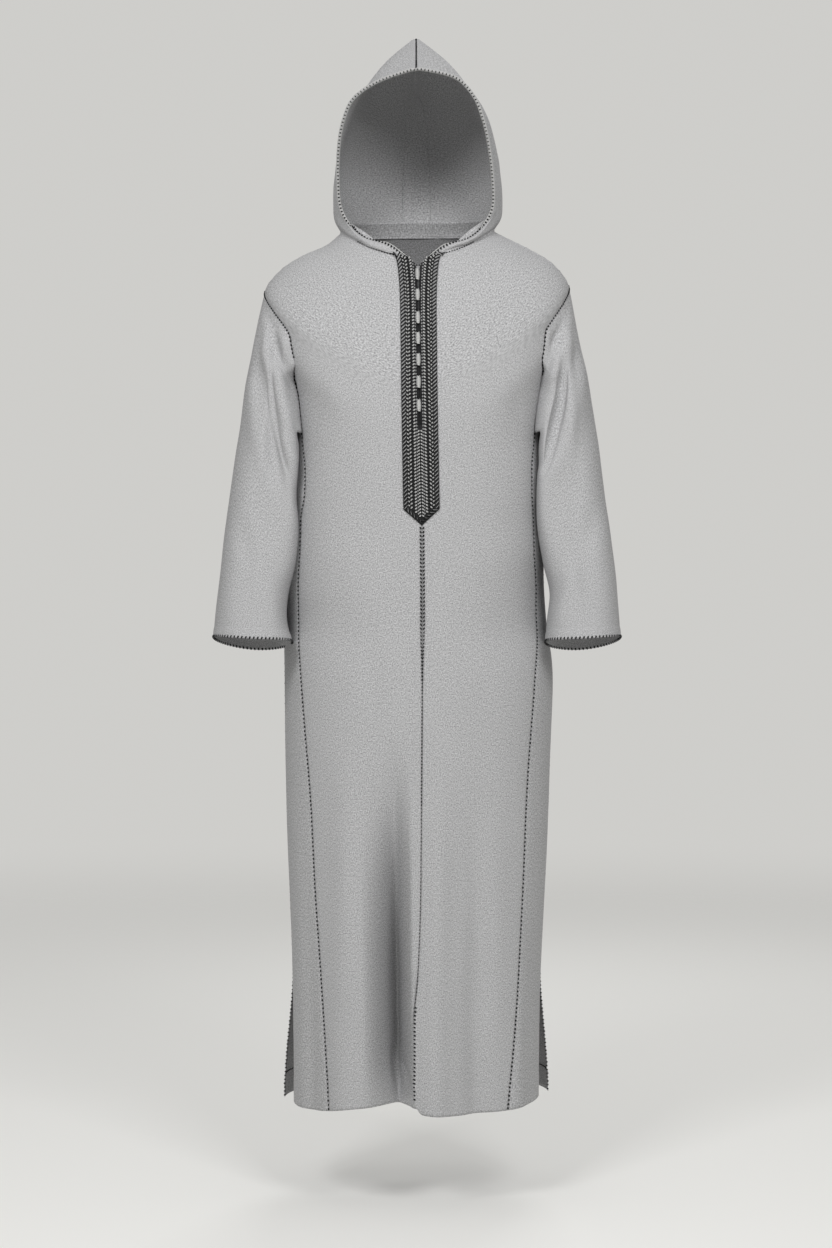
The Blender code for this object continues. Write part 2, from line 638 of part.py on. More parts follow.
make_fronts()
make_gores()
make_back()
make_sleeve("sleeve_right", -1.0)
make_sleeve("sleeve_left", 1.0)
make_hood()
make_placket()
make_centre_braid()
for number, (knot_z, loop_z) in enumerate(BUTTONS, start=1):
    make_knot(f"knot_{number}", knot_z)
    make_loop(f"loop_{number}", loop_z)
face_outwards()
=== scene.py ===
# %% [markdown]
# A hooded thobe, dressed
#
# This lesson dresses the plain cloth panels of a long grey hooded thobe. Every panel is made again as a
# fine sheet on the same form, with its folds, and then the sewing goes on: braid, knots, loops, seam
# stitches and whip-stitched edges. -Y is the front, +X the garment's left, and the origin lies at the base
# of the neck. Tables and helpers work in millimetres, and the meshes are in metres.

import math

import bmesh
import bpy
import numpy as np
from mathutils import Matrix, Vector, noise


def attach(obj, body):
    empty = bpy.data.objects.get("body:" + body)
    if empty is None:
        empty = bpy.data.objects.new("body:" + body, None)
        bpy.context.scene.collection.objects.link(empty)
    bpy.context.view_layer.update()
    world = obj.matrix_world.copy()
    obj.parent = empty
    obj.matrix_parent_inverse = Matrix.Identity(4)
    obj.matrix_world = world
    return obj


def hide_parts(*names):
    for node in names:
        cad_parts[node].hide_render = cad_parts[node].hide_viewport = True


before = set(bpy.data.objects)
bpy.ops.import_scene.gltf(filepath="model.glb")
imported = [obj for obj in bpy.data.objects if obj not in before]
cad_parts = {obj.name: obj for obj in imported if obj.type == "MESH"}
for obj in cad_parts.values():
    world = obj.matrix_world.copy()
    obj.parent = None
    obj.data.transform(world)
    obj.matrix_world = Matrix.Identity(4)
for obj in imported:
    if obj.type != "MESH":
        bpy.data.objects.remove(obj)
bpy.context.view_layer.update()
MM = 0.001
print("nodes:", len(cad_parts))

# %% [markdown]
# The form of the body
#
# A worn robe hangs from the shoulders in a long tube. It could be sculpted, but a tube that is stacked
# from rings is easier to read and to correct: each ring has a half-width to either side, a depth to the
# front and to the back, and its own heights, because the cloth rises over the shoulders. A smooth curve
# through the rings gives every point between them.

# %% The body's rings
# One row for each ring, from the neck to the hem. Left and right in the tables are the viewer's, so left
# is -X: left, right, side_y, front_y, back_y, left_z, right_z, front_z, back_z, squareness.
BODY = np.array([
    [118, 122, 0, -99, 84, 14, 18, -36, 24, 2.2],
    [142, 144, 2, -113, 98, -5, 7, -82, -6, 2.2],
    [180, 182, 4, -129, 116, -21, -12, -130, -56, 2.2],
    [214, 216, 5, -139, 129, -43, -33, -176, -110, 2.2],
    [238, 241, 6, -145, 136, -74, -66, -214, -160, 2.2],
    [234, 238, 6, -148, 140, -106, -100, -248, -204, 2.2],
    [222, 228, 6, -150, 143, -148, -144, -284, -250, 2.3],
    [197, 205, 6, -151, 144, -214, -212, -322, -300, 2.4],
    [190, 197, 6, -151, 144, -290, -290, -362, -350, 2.4],
    [193, 200, 8, -151, 144, -345, -345, -400, -392, 2.4],
    [198, 201, 12, -151, 143, -390, -390, -435, -430, 2.4],
    [200, 200, 16, -151, 142, -430, -430, -468, -464, 2.4],
    [203, 202, 20, -152, 142, -480, -480, -508, -506, 2.4],
    [211, 203, 34, -153, 143, -540, -540, -560, -558, 2.25],
    [210, 208, 40, -154, 145, -605, -605, -620, -618, 2.15],
    [208, 216, 20, -155, 147, -690, -690, -700, -698, 2.4],
    [205, 210, 12, -159, 156, -870, -870, -872, -870, 2.3],
    [200, 203, 8, -163, 166, -1020, -1020, -1020, -1020, 2.3],
    [196, 197, 6, -167, 176, -1140, -1140, -1140, -1140, 2.3],
    [194, 195, 5, -169, 181, -1215, -1215, -1215, -1215, 2.3],
    [192, 193, 5, -172, 190, -1353, -1343, -1350, -1340, 2.3],
])
UNDERARM_ROW = 8.0
HEM_ROW = 20.0
SHOULDER_TIP_ROW = 4.0
# Where the two fronts meet at the neckline.
CENTRE_X = 3.0

# Where the seams cross each ring, as distances from the middle and, for the sides, as angles.
# centre_x, seam_left_x, seam_right_x, side_left, side_right
SEAMS = np.array([
    [3.0, 118, 122, 90, 90],
    [3.3, 142, 144, 90, 90],
    [3.8, 180, 182, 90, 90],
    [4.3, 214, 216, 90, 90],
    [4.8, 238, 241, 90, 90],
    [5.2, 196, 201, 122, 122],
    [5.8, 190, 196, 124, 124],
    [6.6, 186, 193.5, 114, 114],
    [7.4, 178, 185, 99, 99],
    [8.1, 172, 180, 96, 96],
    [8.8, 173, 180, 95, 95],
    [9.2, 179, 182, 94, 94],
    [9.5, 180, 183, 94, 94],
    [9.6, 183, 187, 94, 94],
    [9.7, 183, 188, 94, 94],
    [9.8, 178, 183, 94, 94],
    [8.6, 163, 170, 94, 94],
    [7.0, 155, 162, 94, 94],
    [2.5, 146, 155, 94, 94],
    [-3.6, 140, 150, 94, 94],
    [-3.6, 129, 139, 94, 94],
])
SEAM_GAP = 0.36
SLIT_TOP_Z = -1180.0
SIDE_SLIT_TOP_Z = -1128.0
# The neckline's dip, the hem's rise and the cut-off corner beside the slit, in rows.
NECK_DIP = 0.3
HEM_LIFT = 0.09
CORNER = 0.13
# How far the back stands out beyond the front at the side slits, and where that and the lap begin.
BACK_SPREAD = 17.0
SPREAD_TOP_Z = -1120.0
# How far the right front lies inside the left one above the front slit and in it, and how far it reaches on
# under the left one there, in degrees.
LAP_ABOVE = 5.0
LAP_IN_SLIT = 36.0
REACH_UNDER = 4.4

# %% [markdown]
# Soft folds
#
# Loose cloth gathers into long ridges and troughs that fade out towards where it is held. Each one here
# is a row of a short table: where it starts, where it ends, how wide and how deep it is. They are uneven
# on purpose, because folds that match left and right look like corrugated sheet.

# %% The body's long folds
# top_angle, foot_angle, top_z, foot_z, top_width, foot_width, depth, lean
BODY_FOLDS = (
    (-14.0, -12.5, -600, -1350, 9.0, 10.0, -14.0, 0.0),
    (9.5, 8.0, -600, -1350, 5.0, 6.5, 13.0, 0.0),
    (23.0, 29.0, -560, -1350, 6.5, 7.0, -13.0, 0.0),
    (-29.0, -33.0, -560, -1350, 8.0, 9.0, 11.0, 0.0),
    (48.0, 50.0, -700, -1350, 6.0, 7.0, 6.0, 0.0),
    (-54.0, -54.0, -760, -1350, 6.0, 6.0, -6.0, 0.0),
    (-150.0, -148.0, -420, -1345, 8.0, 8.0, 14.0, 0.0),
    (-172.0, -168.0, -560, -1345, 6.0, 8.0, -14.0, 0.1),
    (168.0, 166.0, -300, -1345, 7.0, 9.0, 15.0, -0.1),
    (146.0, 142.0, -500, -1345, 6.0, 8.0, -13.0, 0.0),
    (122.0, 120.0, -620, -1345, 6.0, 7.0, 10.0, 0.1),
    (-124.0, -122.0, -700, -1345, 6.0, 7.0, -9.0, 0.0),
)
# The deep fold's middle and the widths of its two flanks in degrees, and its depth.
DEEP_MIDDLE = -9.2
DEEP_WIDTHS = (6.9, 15.0)
DEEP_DEPTH = 112.0


# %% Curves through a table
def ease(value):
    """0 up to 0, 1 from 1 on, and a soft S between."""
    value = np.clip(value, 0.0, 1.0)
    return value * value * (3.0 - 2.0 * value)


def bell(value):
    """1 at 0, and a soft fall to 0 on both sides."""
    return np.exp(-(value**2))


def unit(vectors):
    """The same directions, each of length 1."""
    return vectors / np.maximum(np.linalg.norm(vectors, axis=-1, keepdims=True), 1e-9)


def reach_of(sine, cosine, squareness):
    """How far a ring between a circle and a square reaches in a direction."""
    return (np.abs(sine) ** squareness + np.abs(cosine) ** squareness) ** (-1.0 / squareness)


def lengths_along(points):
    """How far along its line each point lies, for one line or for every column of a grid."""
    steps = np.linalg.norm(np.diff(points, axis=0), axis=-1)
    return np.concatenate([np.zeros_like(steps[:1]), np.cumsum(steps, axis=0)])


def read_line(where, marks, values):
    """What a line of 3-D values holds at these places between its marks."""
    return np.stack([np.interp(where, marks, values[:, k]) for k in range(3)], axis=-1)


def between(table, row, steady=False):
    """The columns of a table at a row number that may fall between its rows, as smooth curves.

    A steady curve never swings past its rows, which keeps two seams that meet together.
    """
    table = np.asarray(table, float)
    row = np.clip(np.asarray(row, float), 0.0, len(table) - 1.0)
    low = np.minimum(row.astype(int), len(table) - 2)
    part = (row - low)[..., None]
    steps = np.diff(table, axis=0)
    before = np.concatenate([steps[:1], steps])
    after = np.concatenate([steps, steps[-1:]])
    slopes = (before + after) / 2.0
    if steady:
        same = before * after > 0.0
        total = np.where(same, before + after, 1.0)
        slopes = np.where(same, 2.0 * before * after / total, 0.0)
    square, cube = part**2, part**3
    values = (2 * cube - 3 * square + 1) * table[low] + (3 * square - 2 * cube) * table[low + 1]
    values = values + (cube - 2 * square + part) * slopes[low] + (cube - square) * slopes[low + 1]
    return np.moveaxis(values, -1, 0)


def smooth_line(points, places):
    """A smooth line through a list of points, at places that are counted in points from 0."""
    return np.moveaxis(between(points, places), 0, -1)


def angle_at(row, x):
    """The angle from the front at which a body ring reaches x."""
    left, right, *_, squareness = between(BODY, row)
    share = np.clip(np.abs(x) / np.where(x < 0, left, right), 0.0, 1.0)
    rest = (1.0 - share**squareness) ** (1.0 / squareness)
    return np.sign(x) * np.arctan2(share, rest)


def seam_angles():
    """SEAMS with every column as an angle: centre, left and right front seams, left and right side."""
    rows = np.arange(len(SEAMS), dtype=float)
    centre = angle_at(rows, SEAMS[:, 0])
    left = angle_at(rows, -SEAMS[:, 1])
    right = angle_at(rows, SEAMS[:, 2])
    return np.stack([centre, left, right, np.radians(-SEAMS[:, 3]), np.radians(SEAMS[:, 4])], axis=1)


SEAM_ANGLES = seam_angles()


# %% The body's surface
def deep_fold(degrees, z):
    """The one deep fold beside the centre seam, a narrow V that runs inwards."""
    middle = DEEP_MIDDLE + 0.6 * np.clip((-800.0 - z) / 500.0, 0.0, 1.0)
    steep = degrees > middle
    away = np.clip(np.abs(degrees - middle) / np.where(steep, *DEEP_WIDTHS), 0.0, 1.0)
    across = np.maximum(1.04 - np.sqrt(away**2 + 0.012), 0.0) / 0.93
    across = across ** np.where(steep, 1.3, 1.75)
    lasting = ease((-760.0 - z) / 420.0) * (1.0 - 0.45 * ease((-1245.0 - z) / 110.0))
    return -DEEP_DEPTH * across * lasting


def folded(angle, z):
    """How far the folds move the body outwards."""
    degrees = np.degrees(angle)
    moved = np.zeros(np.broadcast(degrees, z).shape)
    for top_angle, foot_angle, top_z, foot_z, top_width, foot_width, depth, lean in BODY_FOLDS:
        down = np.clip((top_z - z) / (top_z - foot_z), 0.0, 1.0)
        middle = top_angle + (foot_angle - top_angle) * down
        width = top_width + (foot_width - top_width) * down
        away = (degrees - middle + 180.0) % 360.0 - 180.0
        width = width * (1.0 - lean * np.sign(away))
        moved = moved + depth * ease(down * 0.85) * bell(away / width)
    return moved


def body(row, angle, tucked=0.0):
    """A point of the body's outer face. Angle 0 is the front, and +90 degrees the garment's left."""
    row, angle, tucked = np.broadcast_arrays(np.asarray(row, float), angle, tucked)
    angle = (angle + math.pi) % (2.0 * math.pi) - math.pi
    # The hem rises a little on the right front, beside the open centre seam.
    lift = HEM_LIFT * bell((np.degrees(angle) + 20.0) / 22.0)
    row = row - lift * ease((row - 18.6) / 1.4)
    # The neckline dips in a small V at the centre seam.
    dip = bell((120.0 * np.tan(np.clip(angle, -1.2, 1.2)) - CENTRE_X) / 10.0) * (np.cos(angle) > 0)
    row = row + NECK_DIP * dip * (1.0 - ease(row / 1.4))
    left, right, side_y, front_y, back_y, left_z, right_z, front_z, back_z, squareness = between(BODY, row)
    sine, cosine = np.sin(angle), np.cos(angle)
    reach = reach_of(sine, cosine, squareness)
    x = np.where(sine < 0, left, right) * sine * reach
    y = side_y - np.where(cosine > 0, side_y - front_y, back_y - side_y) * cosine * reach
    side_z = np.where(sine < 0, left_z, right_z)
    z = side_z + (np.where(cosine > 0, front_z, back_z) - side_z) * cosine**2
    out = folded(angle, z) - tucked
    # The back panel stands out beyond the front at the foot of the side slits.
    behind = bell((np.abs(np.degrees(angle)) - 96.0) / 22.0) * (np.abs(angle) > math.radians(94.0))
    out = out + BACK_SPREAD * behind * ease((SPREAD_TOP_Z - z) / 230.0)
    return np.stack([x + out * sine, y - out * cosine - deep_fold(np.degrees(angle), z), z], axis=-1)


def frame_at(row, angle):
    """A point of the body, and the unit vector out of the cloth there."""
    point = body(row, angle)
    down = body(row + 0.02, angle) - body(row - 0.02, angle)
    across = body(row, angle + 0.01) - body(row, angle - 0.01)
    return point, unit(np.cross(down, across))


def row_at(z):
    """The body row whose front passes the height z beside the centre seam."""
    rows = np.linspace(0.0, HEM_ROW, 1400)
    heights = body(rows, angle_at(rows, np.full(rows.shape, CENTRE_X)))[:, 2]
    return np.interp(-np.asarray(z, float), -heights, rows)


def half_gap(rows):
    """Half the seam gap, as an angle."""
    return SEAM_GAP / 2.0 / np.maximum(between(BODY, rows)[0], 100.0) * 1.15


def under_the_other(row, angle):
    """How far the right front panel lies inside the left one where the front is open."""
    z = between(BODY, row)[7]
    over = np.degrees(angle) + 10.0
    near = ease(over / 8.0)
    return near * (LAP_ABOVE * ease((SPREAD_TOP_Z - z) / 50.0) + LAP_IN_SLIT * ease((SLIT_TOP_Z - z) / 170.0))


print("body from", round(float(body(0.0, 0.0)[2])), "to", round(float(body(HEM_ROW, 0.0)[2])), "mm")

# %% [markdown]
# The form of the sleeves and the hood
#
# A sleeve is a tube of sections from the armhole to the cuff. Its first ring follows the armhole's own
# curve, so that the two edges meet all the way round. The hood is two mirrored halves, each stretched over
# a few guide points from the stitched face edge round the side to the seam at the back.

# %% The sleeves' sections
# outer_left, outer_right, outer_z, inner_left, inner_right, inner_z, front_y, front_z, back_y, back_z
SLEEVE = np.array([
    [238, 241, -78, 186, 192, -290, -88, -168, 90, -172],
    [247, 250, -116, 186, 193, -303, -92, -204, 90, -204],
    [258, 261, -172, 182.5, 190, -332, -95, -252, 88, -250],
    [269, 273, -232, 184, 188.5, -364, -97, -300, 84, -300],
    [279, 284, -302, 185.5, 187, -402, -99, -356, 78, -356],
    [291, 295, -384, 182, 189, -452, -103, -420, 68, -424],
    [300, 304, -458, 186.5, 198, -506, -110, -482, 57, -488],
    [306, 312, -522, 198, 208, -552, -120, -536, 46, -544],
    [312, 316, -578, 200.5, 204, -594, -132, -584, 36, -598],
    [316, 319, -624, 191.5, 201, -630, -142, -624, 24, -643],
])
CUFF_ROW = 9.0
SLEEVE_SQUARENESS = 2.25
# How far forward of its middle a sleeve's inner side lies, for the same rows.
SLEEVE_FORWARD = np.array([[0], [44], [64], [66], [62], [52], [38], [28], [20], [14]])

# Folds of a sleeve: round is 0 at the outer side, 0.25 at the front, 0.5 at the body.
# top_round, foot_round, top_row, foot_row, width, depth
SLEEVE_FOLDS = (
    (0.14, 0.40, 0.5, 3.6, 0.045, -7.0),
    (0.10, 0.30, 1.2, 6.4, 0.045, -6.0),
    (0.20, 0.36, 3.5, 8.0, 0.05, 5.0),
    (0.86, 0.70, 1.0, 6.0, 0.05, -7.0),
    (0.78, 0.66, 4.0, 8.6, 0.05, 5.0),
)


def sleeve_section(side, row, turn):
    """A point of a sleeve. Turn is 0 at the outer side, 0.25 at the front, 0.5 at the body."""
    columns = between(SLEEVE, row)
    outer_l, outer_r, outer_z, inner_l, inner_r, inner_z, front_y, front_z, back_y, back_z = columns
    outer, inner = (outer_l, inner_l) if side < 0 else (outer_r, inner_r)
    sine, cosine = np.sin(2 * math.pi * turn), np.cos(2 * math.pi * turn)
    reach = reach_of(sine, cosine, SLEEVE_SQUARENESS)
    x = (outer + inner) / 2.0 + (outer - inner) / 2.0 * cosine * reach
    y = (front_y + back_y) / 2.0 + (front_y - back_y) / 2.0 * sine * reach
    y = y - between(SLEEVE_FORWARD, row)[0] * np.clip(-cosine, 0.0, 1.0) ** 2
    middle = (outer_z + inner_z) / 2.0
    z = middle + (outer_z - inner_z) / 2.0 * cosine + (front_z - back_z) / 2.0 * sine
    z = z + ((front_z + back_z) / 2.0 - middle) * sine**2
    pushed = np.zeros(np.broadcast(row, turn).shape)
    for top_turn, foot_turn, top_row, foot_row, width, depth in SLEEVE_FOLDS:
        down = (row - top_row) / (foot_row - top_row)
        at = top_turn + (foot_turn - top_turn) * np.clip(down, 0.0, 1.0)
        away = (turn - at + 0.5) % 1.0 - 0.5
        lasting = ease(down * 4.0 + 0.5) * ease((1.0 - down) * 3.0 + 0.5)
        pushed = pushed + depth * lasting * bell(away / width)
    x = x + pushed * cosine
    y = y - pushed * sine
    return np.stack([side * x, y, z], axis=-1)


# %% The armhole
# Coarse steps down the armhole, one number for each ring from the shoulder's tip to the underarm.
HEAD_STEPS = (3, 2, 2, 2)


def armhole(side, rows_each=(24, 20, 20, 20), foot_points=16):
    """Points from the tip of the shoulder down the armhole's front edge and up its back edge."""
    front_column = 1 if side < 0 else 2
    clear = SEAM_GAP / 200.0
    down = [i + k / count for i, count in enumerate(rows_each) for k in range(count)]
    down = np.clip(SHOULDER_TIP_ROW + np.array(down + [4.0]), 4.012, UNDERARM_ROW - 0.009)
    edges = between(SEAM_ANGLES, down, steady=True)
    first, last = edges[front_column], edges[front_column + 2]
    spread = np.minimum(clear, 0.45 * side * (last - first))
    foot = np.linspace(first[-1] + side * clear, last[-1] - side * clear, foot_points)
    rows = np.concatenate([down[:-1], np.full(foot_points, down[-1]), down[1:-1][::-1]])
    angles = [(first + side * spread)[:-1], foot, (last - side * spread)[1:-1][::-1]]
    return body(rows, np.concatenate(angles))


def turns_of(loop):
    """The share of the way round a closed loop at which each of its points lies."""
    steps = np.linalg.norm(np.roll(loop, -1, axis=0) - loop, axis=1)
    return np.concatenate([[0.0], np.cumsum(steps)[:-1]]) / steps.sum()


def on_loop(loop, share):
    """Points of a closed loop at these shares of the way round."""
    marks = np.append(turns_of(loop), 1.0)
    closed = np.concatenate([loop, loop[:1]])
    return read_line(share % 1.0, marks, closed)


def sleeve_place(side):
    """The function that lays a flat sheet round one sleeve, with its edges meeting at the underside."""
    coarse = armhole(side, HEAD_STEPS, 5)
    even = np.append(np.arange(len(coarse)) / len(coarse), 1.0)
    head_turns = np.append(turns_of(coarse), 1.0)
    fine = armhole(side)

    def place(across, down):
        way = across if side < 0 else 1.0 - across
        share = (way + 0.5) % 1.0
        row = down * CUFF_ROW
        head_turn = np.interp(share, even, head_turns)
        turn = head_turn + (share - head_turn) * ease(row / 4.0)
        fade = (1.0 - ease(row / 1.7))[..., None]
        moved = on_loop(fine, head_turn) - sleeve_section(side, 0.0 * row, head_turn)
        return sleeve_section(side, row, turn) + moved * fade

    return place


# %% The hood's guide points
# left face edge x, y, z; right face edge x, y, z
FACE_EDGE = np.array([
    [-13, -97, -36, 18, -97, -36],
    [-38, -91, -17, 42, -91, -17],
    [-75, -74, -5, 76, -74, -6],
    [-104, -55, 20, 104, -55, 17],
    [-119, -50, 50, 120, -50, 48],
    [-122, -58, 92, 120, -60, 88],
    [-120, -76, 138, 113, -77, 136],
    [-113, -90, 177, 104, -90, 178],
    [-98, -99, 209, 90, -98, 213],
    [-62, -107, 233, 62, -106, 240],
    [-14, -112, 249.5, 14, -112, 251],
    [0, -112.5, 251, 0, -112.5, 251.5],
])
# quarter x, y, z; side x, y, z; crown x, y, z; rear x, y, z; back y, z
HOOD = np.array([
    [72, -83, -22, 118, -2, 14, 96, 44, 24, 52, 74, 26, 84, 24],
    [86, -78, -8, 130, 2, 36, 112, 56, 42, 64, 98, 44, 112, 42],
    [106, -60, 16, 133, 8, 62, 118, 66, 68, 68, 118, 72, 136, 72],
    [121, -38, 46, 133, 16, 90, 118, 76, 100, 68, 130, 104, 150, 104],
    [127, -24, 80, 130, 22, 116, 115, 80, 128, 66, 134, 134, 157, 134],
    [126, -28, 112, 126, 24, 142, 109, 80, 154, 62, 132, 160, 158, 160],
    [119, -38, 152, 116, 22, 172, 99, 78, 182, 57, 125, 186, 154, 184],
    [108, -46, 190, 101, 20, 207, 86, 76, 213, 50, 117, 212, 148, 206],
    [89, -53, 223, 82, 20, 246, 72, 74, 249, 43, 111, 238, 142, 224],
    [56, -58, 252, 52, 20, 286, 48, 67, 293, 29, 107, 264, 135, 243],
    [12, -61, 270, 10, 16, 311.5, 9, 62.5, 329, 8, 105.4, 286.4, 132, 254],
    [0, -61, 272, 0, 16, 314, 0, 63, 332, 0, 106, 287, 131.6, 255],
])
HOOD_ROWS = 11.0
HOOD_SPREAD = (0.985, 1.03)
NECK_GAP = 1.0
HOOD_GAP = 0.8
# How far round the neckline each guide of the hood starts.
NECK_MARKS = (0.0, 0.21, 0.49, 0.66, 0.83, 1.0)


def hood_points(side, rows, columns):
    """Points of half the hood: rows from the neckline up, columns from the face edge to the back."""
    edge = FACE_EDGE[:, :3] if side < 0 else FACE_EDGE[:, 3:]
    back = np.stack([np.zeros(len(HOOD)), HOOD[:, 12], HOOD[:, 13]], axis=1)
    spread = HOOD_SPREAD[0 if side < 0 else 1] * side
    guides = [edge] + [HOOD[:, 3 * i : 3 * i + 3] * (spread, 1.0, 1.0) for i in range(4)] + [back]
    # A mirrored guide past the last one brings the rows square to the seam at the back.
    guides.append(guides[-2] * (-1.0, 1.0, 1.0))
    lines = np.stack(guides, axis=1)
    # A mirrored row past the last one brings the cloth level over the top seam.
    lines = np.concatenate([lines, lines[-2:-1] * (-1.0, 1.0, 1.0)])
    along = smooth_line(lines.reshape(len(lines), -1), rows).reshape(len(rows), len(guides), 3)
    places = columns * (len(NECK_MARKS) - 1.0)
    across = np.stack([smooth_line(line, places) for line in along])
    first = angle_at(np.zeros(1), edge[:1, 0])[0]
    marks = np.interp(places, np.arange(len(NECK_MARKS)), NECK_MARKS)
    neck = body(np.zeros(len(columns)), first + (side * math.pi - first) * marks) + (0.0, 0.0, NECK_GAP)
    fade = 1.0 - ease(rows / 2.2)
    across = across + (neck - across[0])[None] * fade[:, None, None]
    inner = (rows < rows[-1])[:, None] & (columns < 1.0)[None, :]
    across[..., 0] = side * np.maximum(side * across[..., 0], HOOD_GAP / 2.0 + 0.3 * inner)
    return across


print("sleeve length about", round(float(np.linalg.norm(SLEEVE[-1, [0, 2]] - SLEEVE[0, [0, 2]]))), "mm")

# %% [markdown]
# A sheet of cloth
#
# Every panel starts as the same thing: a flat grid from `bmesh.ops.create_grid`. A place function then
# lays its points on the form, and relief functions push them a little in or out: long creases, a slow
# uneven swell, the groove and the puckers of a seam, the step of a hem. The grid's own UV map is measured
# in metres of cloth, so that the weave keeps its scale on every panel.

# %% Lay a flat grid on a form
CLOTH_WALL = 1.1
LAID = {}


def distance_down(points):
    """Millimetres of cloth from each point to the top and to the foot of its column."""
    along = lengths_along(points)
    return along, along[-1:] - along


def distance_across(points):
    """Millimetres of cloth from each point to the first and to the last edge of its row."""
    from_first, from_last = distance_down(points.swapaxes(0, 1))
    return from_first.T, from_last.T


def normals_of(points, closed=False):
    """Unit vectors out of the cloth for a grid that runs to the right and down."""
    across = np.gradient(points, axis=1)
    if closed:
        across[:, 0] = across[:, -1] = (points[:, 1] - points[:, -2]) / 2.0
    return unit(np.cross(np.gradient(points, axis=0), across))


def lay_sheet(name, cells_across, cells_down, place, reliefs=(), closed=False, wall=CLOTH_WALL):
    """A new cloth object through the points of place(across, down), both from 0 to 1."""
    work = bmesh.new()
    work.loops.layers.uv.new("cloth")
    bmesh.ops.create_grid(
        work, x_segments=cells_across, y_segments=cells_down, size=0.5, calc_uvs=True
    )
    mesh = bpy.data.meshes.new(name)
    work.to_mesh(mesh)
    work.free()
    flat = np.empty(len(mesh.vertices) * 3, np.float32)
    mesh.vertices.foreach_get("co", flat)
    flat = flat.reshape(-1, 3)[:, :2].astype(float)
    share = (flat - flat.min(axis=0)) / (flat.max(axis=0) - flat.min(axis=0))
    column = np.rint(share[:, 0] * cells_across).astype(int)
    row = np.rint((1.0 - share[:, 1]) * cells_down).astype(int)
    across, down = np.meshgrid(
        np.linspace(0.0, 1.0, cells_across + 1), np.linspace(0.0, 1.0, cells_down + 1)
    )
    points = place(across, down)
    out = normals_of(points, closed)
    pushed = sum((relief(points, out) for relief in reliefs), np.zeros(across.shape))
    if closed:
        pushed[:, -1] = pushed[:, 0]
    points = points + out * pushed[..., None]
    LAID[name] = (points, normals_of(points, closed))
    mesh.vertices.foreach_set("co", (points[row, column] * MM).astype(np.float32).ravel())
    width = float(distance_across(points)[0][:, -1].max()) * MM
    length = float(distance_down(points)[0][-1].max()) * MM
    loops = np.empty(len(mesh.loops), np.int32)
    mesh.loops.foreach_get("vertex_index", loops)
    cloth_map = np.stack([share[:, 0] * width, share[:, 1] * length], axis=1)[loops]
    mesh.uv_layers["cloth"].data.foreach_set("uv", cloth_map.astype(np.float32).ravel())
    if closed:
        work = bmesh.new()
        work.from_mesh(mesh)
        bmesh.ops.remove_doubles(work, verts=work.verts[:], dist=0.00002)
        work.to_mesh(mesh)
        work.free()
    made = show(name, mesh)
    if wall:
        solid = made.modifiers.new("wall", "SOLIDIFY")
        solid.thickness = wall * MM
        solid.offset = -1.0
    area = sum(face.area for face in mesh.polygons)
    print(f"{name}: {width:.2f} m across, {length:.2f} m long, {area:.3f} square metres")
    made["cut"] = (width, length, area)
    return made


def show(name, mesh):
    """Puts a finished mesh in the scene, shaded smooth, on the one body of the garment."""
    mesh.shade_smooth()
    made = bpy.data.objects.new(name, mesh)
    bpy.context.scene.collection.objects.link(made)
    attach(made, "root")
    return made


# %% Reliefs
def swell(height, size, seed):
    """A slow uneven rise and fall, as of cloth that has been worn."""

    def relief(points, out):
        flat = points.reshape(-1, 3) / size + seed * 7.3
        rise = np.array([noise.noise(Vector(p)) for p in flat])
        return height * rise.reshape(points.shape[:2])

    return relief


def stitched_sides(groove=0.45, pucker=0.45, pitch=15.0):
    """The shallow groove beside a seam, and the small puckers that its thread pulls up."""

    def relief(points, out):
        down = distance_down(points)[0]
        wave = np.sin(2.0 * math.pi * down / pitch + 2.0 * np.sin(down / 41.0))
        moved = np.zeros(down.shape)
        for away in distance_across(points):
            moved -= groove * bell(away / 3.0)
            moved += pucker * wave * bell((away - 4.0) / 8.0) * ease(down / 60.0)
        return moved

    return relief


def hem(depth, step=0.5, groove=0.6):
    """Doubled cloth at the foot, with the row of stitches that holds it pulled in a little."""

    def relief(points, out):
        away = distance_down(points)[1]
        doubled = step * (1.0 - ease((away - depth + 1.5) / 3.0))
        return doubled - groove * bell((away - depth) / 2.2)

    return relief


def creases(table, facing=-1.0):
    """Creases drawn on the cloth from the front, or from the back where facing is 1.

    Each is (points as x, z), width, depth, and the share of its length over which each end fades.
    """

    def relief(points, out):
        moved = np.zeros(points.shape[:2])
        seen = ease((facing * out[..., 1] + 0.15) / 0.5)
        for path, width, depth, fade in table:
            line = smooth_line(path, np.linspace(0, len(path) - 1.0, 41))
            starts, steps = line[:-1], np.diff(line, axis=0)
            near = np.full(moved.shape, 1e9)
            along = np.zeros(moved.shape)
            beside = np.zeros(moved.shape)
            for number, (start, step) in enumerate(zip(starts, steps)):
                x, z = points[..., 0] - start[0], points[..., 2] - start[1]
                share = np.clip((x * step[0] + z * step[1]) / (step @ step), 0.0, 1.0)
                gone = np.hypot(x - share * step[0], z - share * step[1])
                closer = gone < near
                near = np.where(closer, gone, near)
                along = np.where(closer, (number + share) / len(steps), along)
                beside = np.where(closer, np.sign(step[0] * z - step[1] * x), beside)
            lasting = ease(along / fade) * ease((1.0 - along) / fade)
            fall = bell(near / width)
            rim = bell((near - 1.9 * width) / (1.2 * width)) * np.where(beside > 0, 0.55, 0.2)
            moved += depth * seen * lasting * (fall - rim)
        return moved

    return relief


# %% [markdown]
# The panels
#
# The fronts, the gores and the back are cut from one tube of cloth, between seam lines that run down the
# body. Each could be one mesh with painted seams, but separate sheets give real edges at the slits and
# real grooves at the seams, so every panel that a maker would cut is its own piece here.


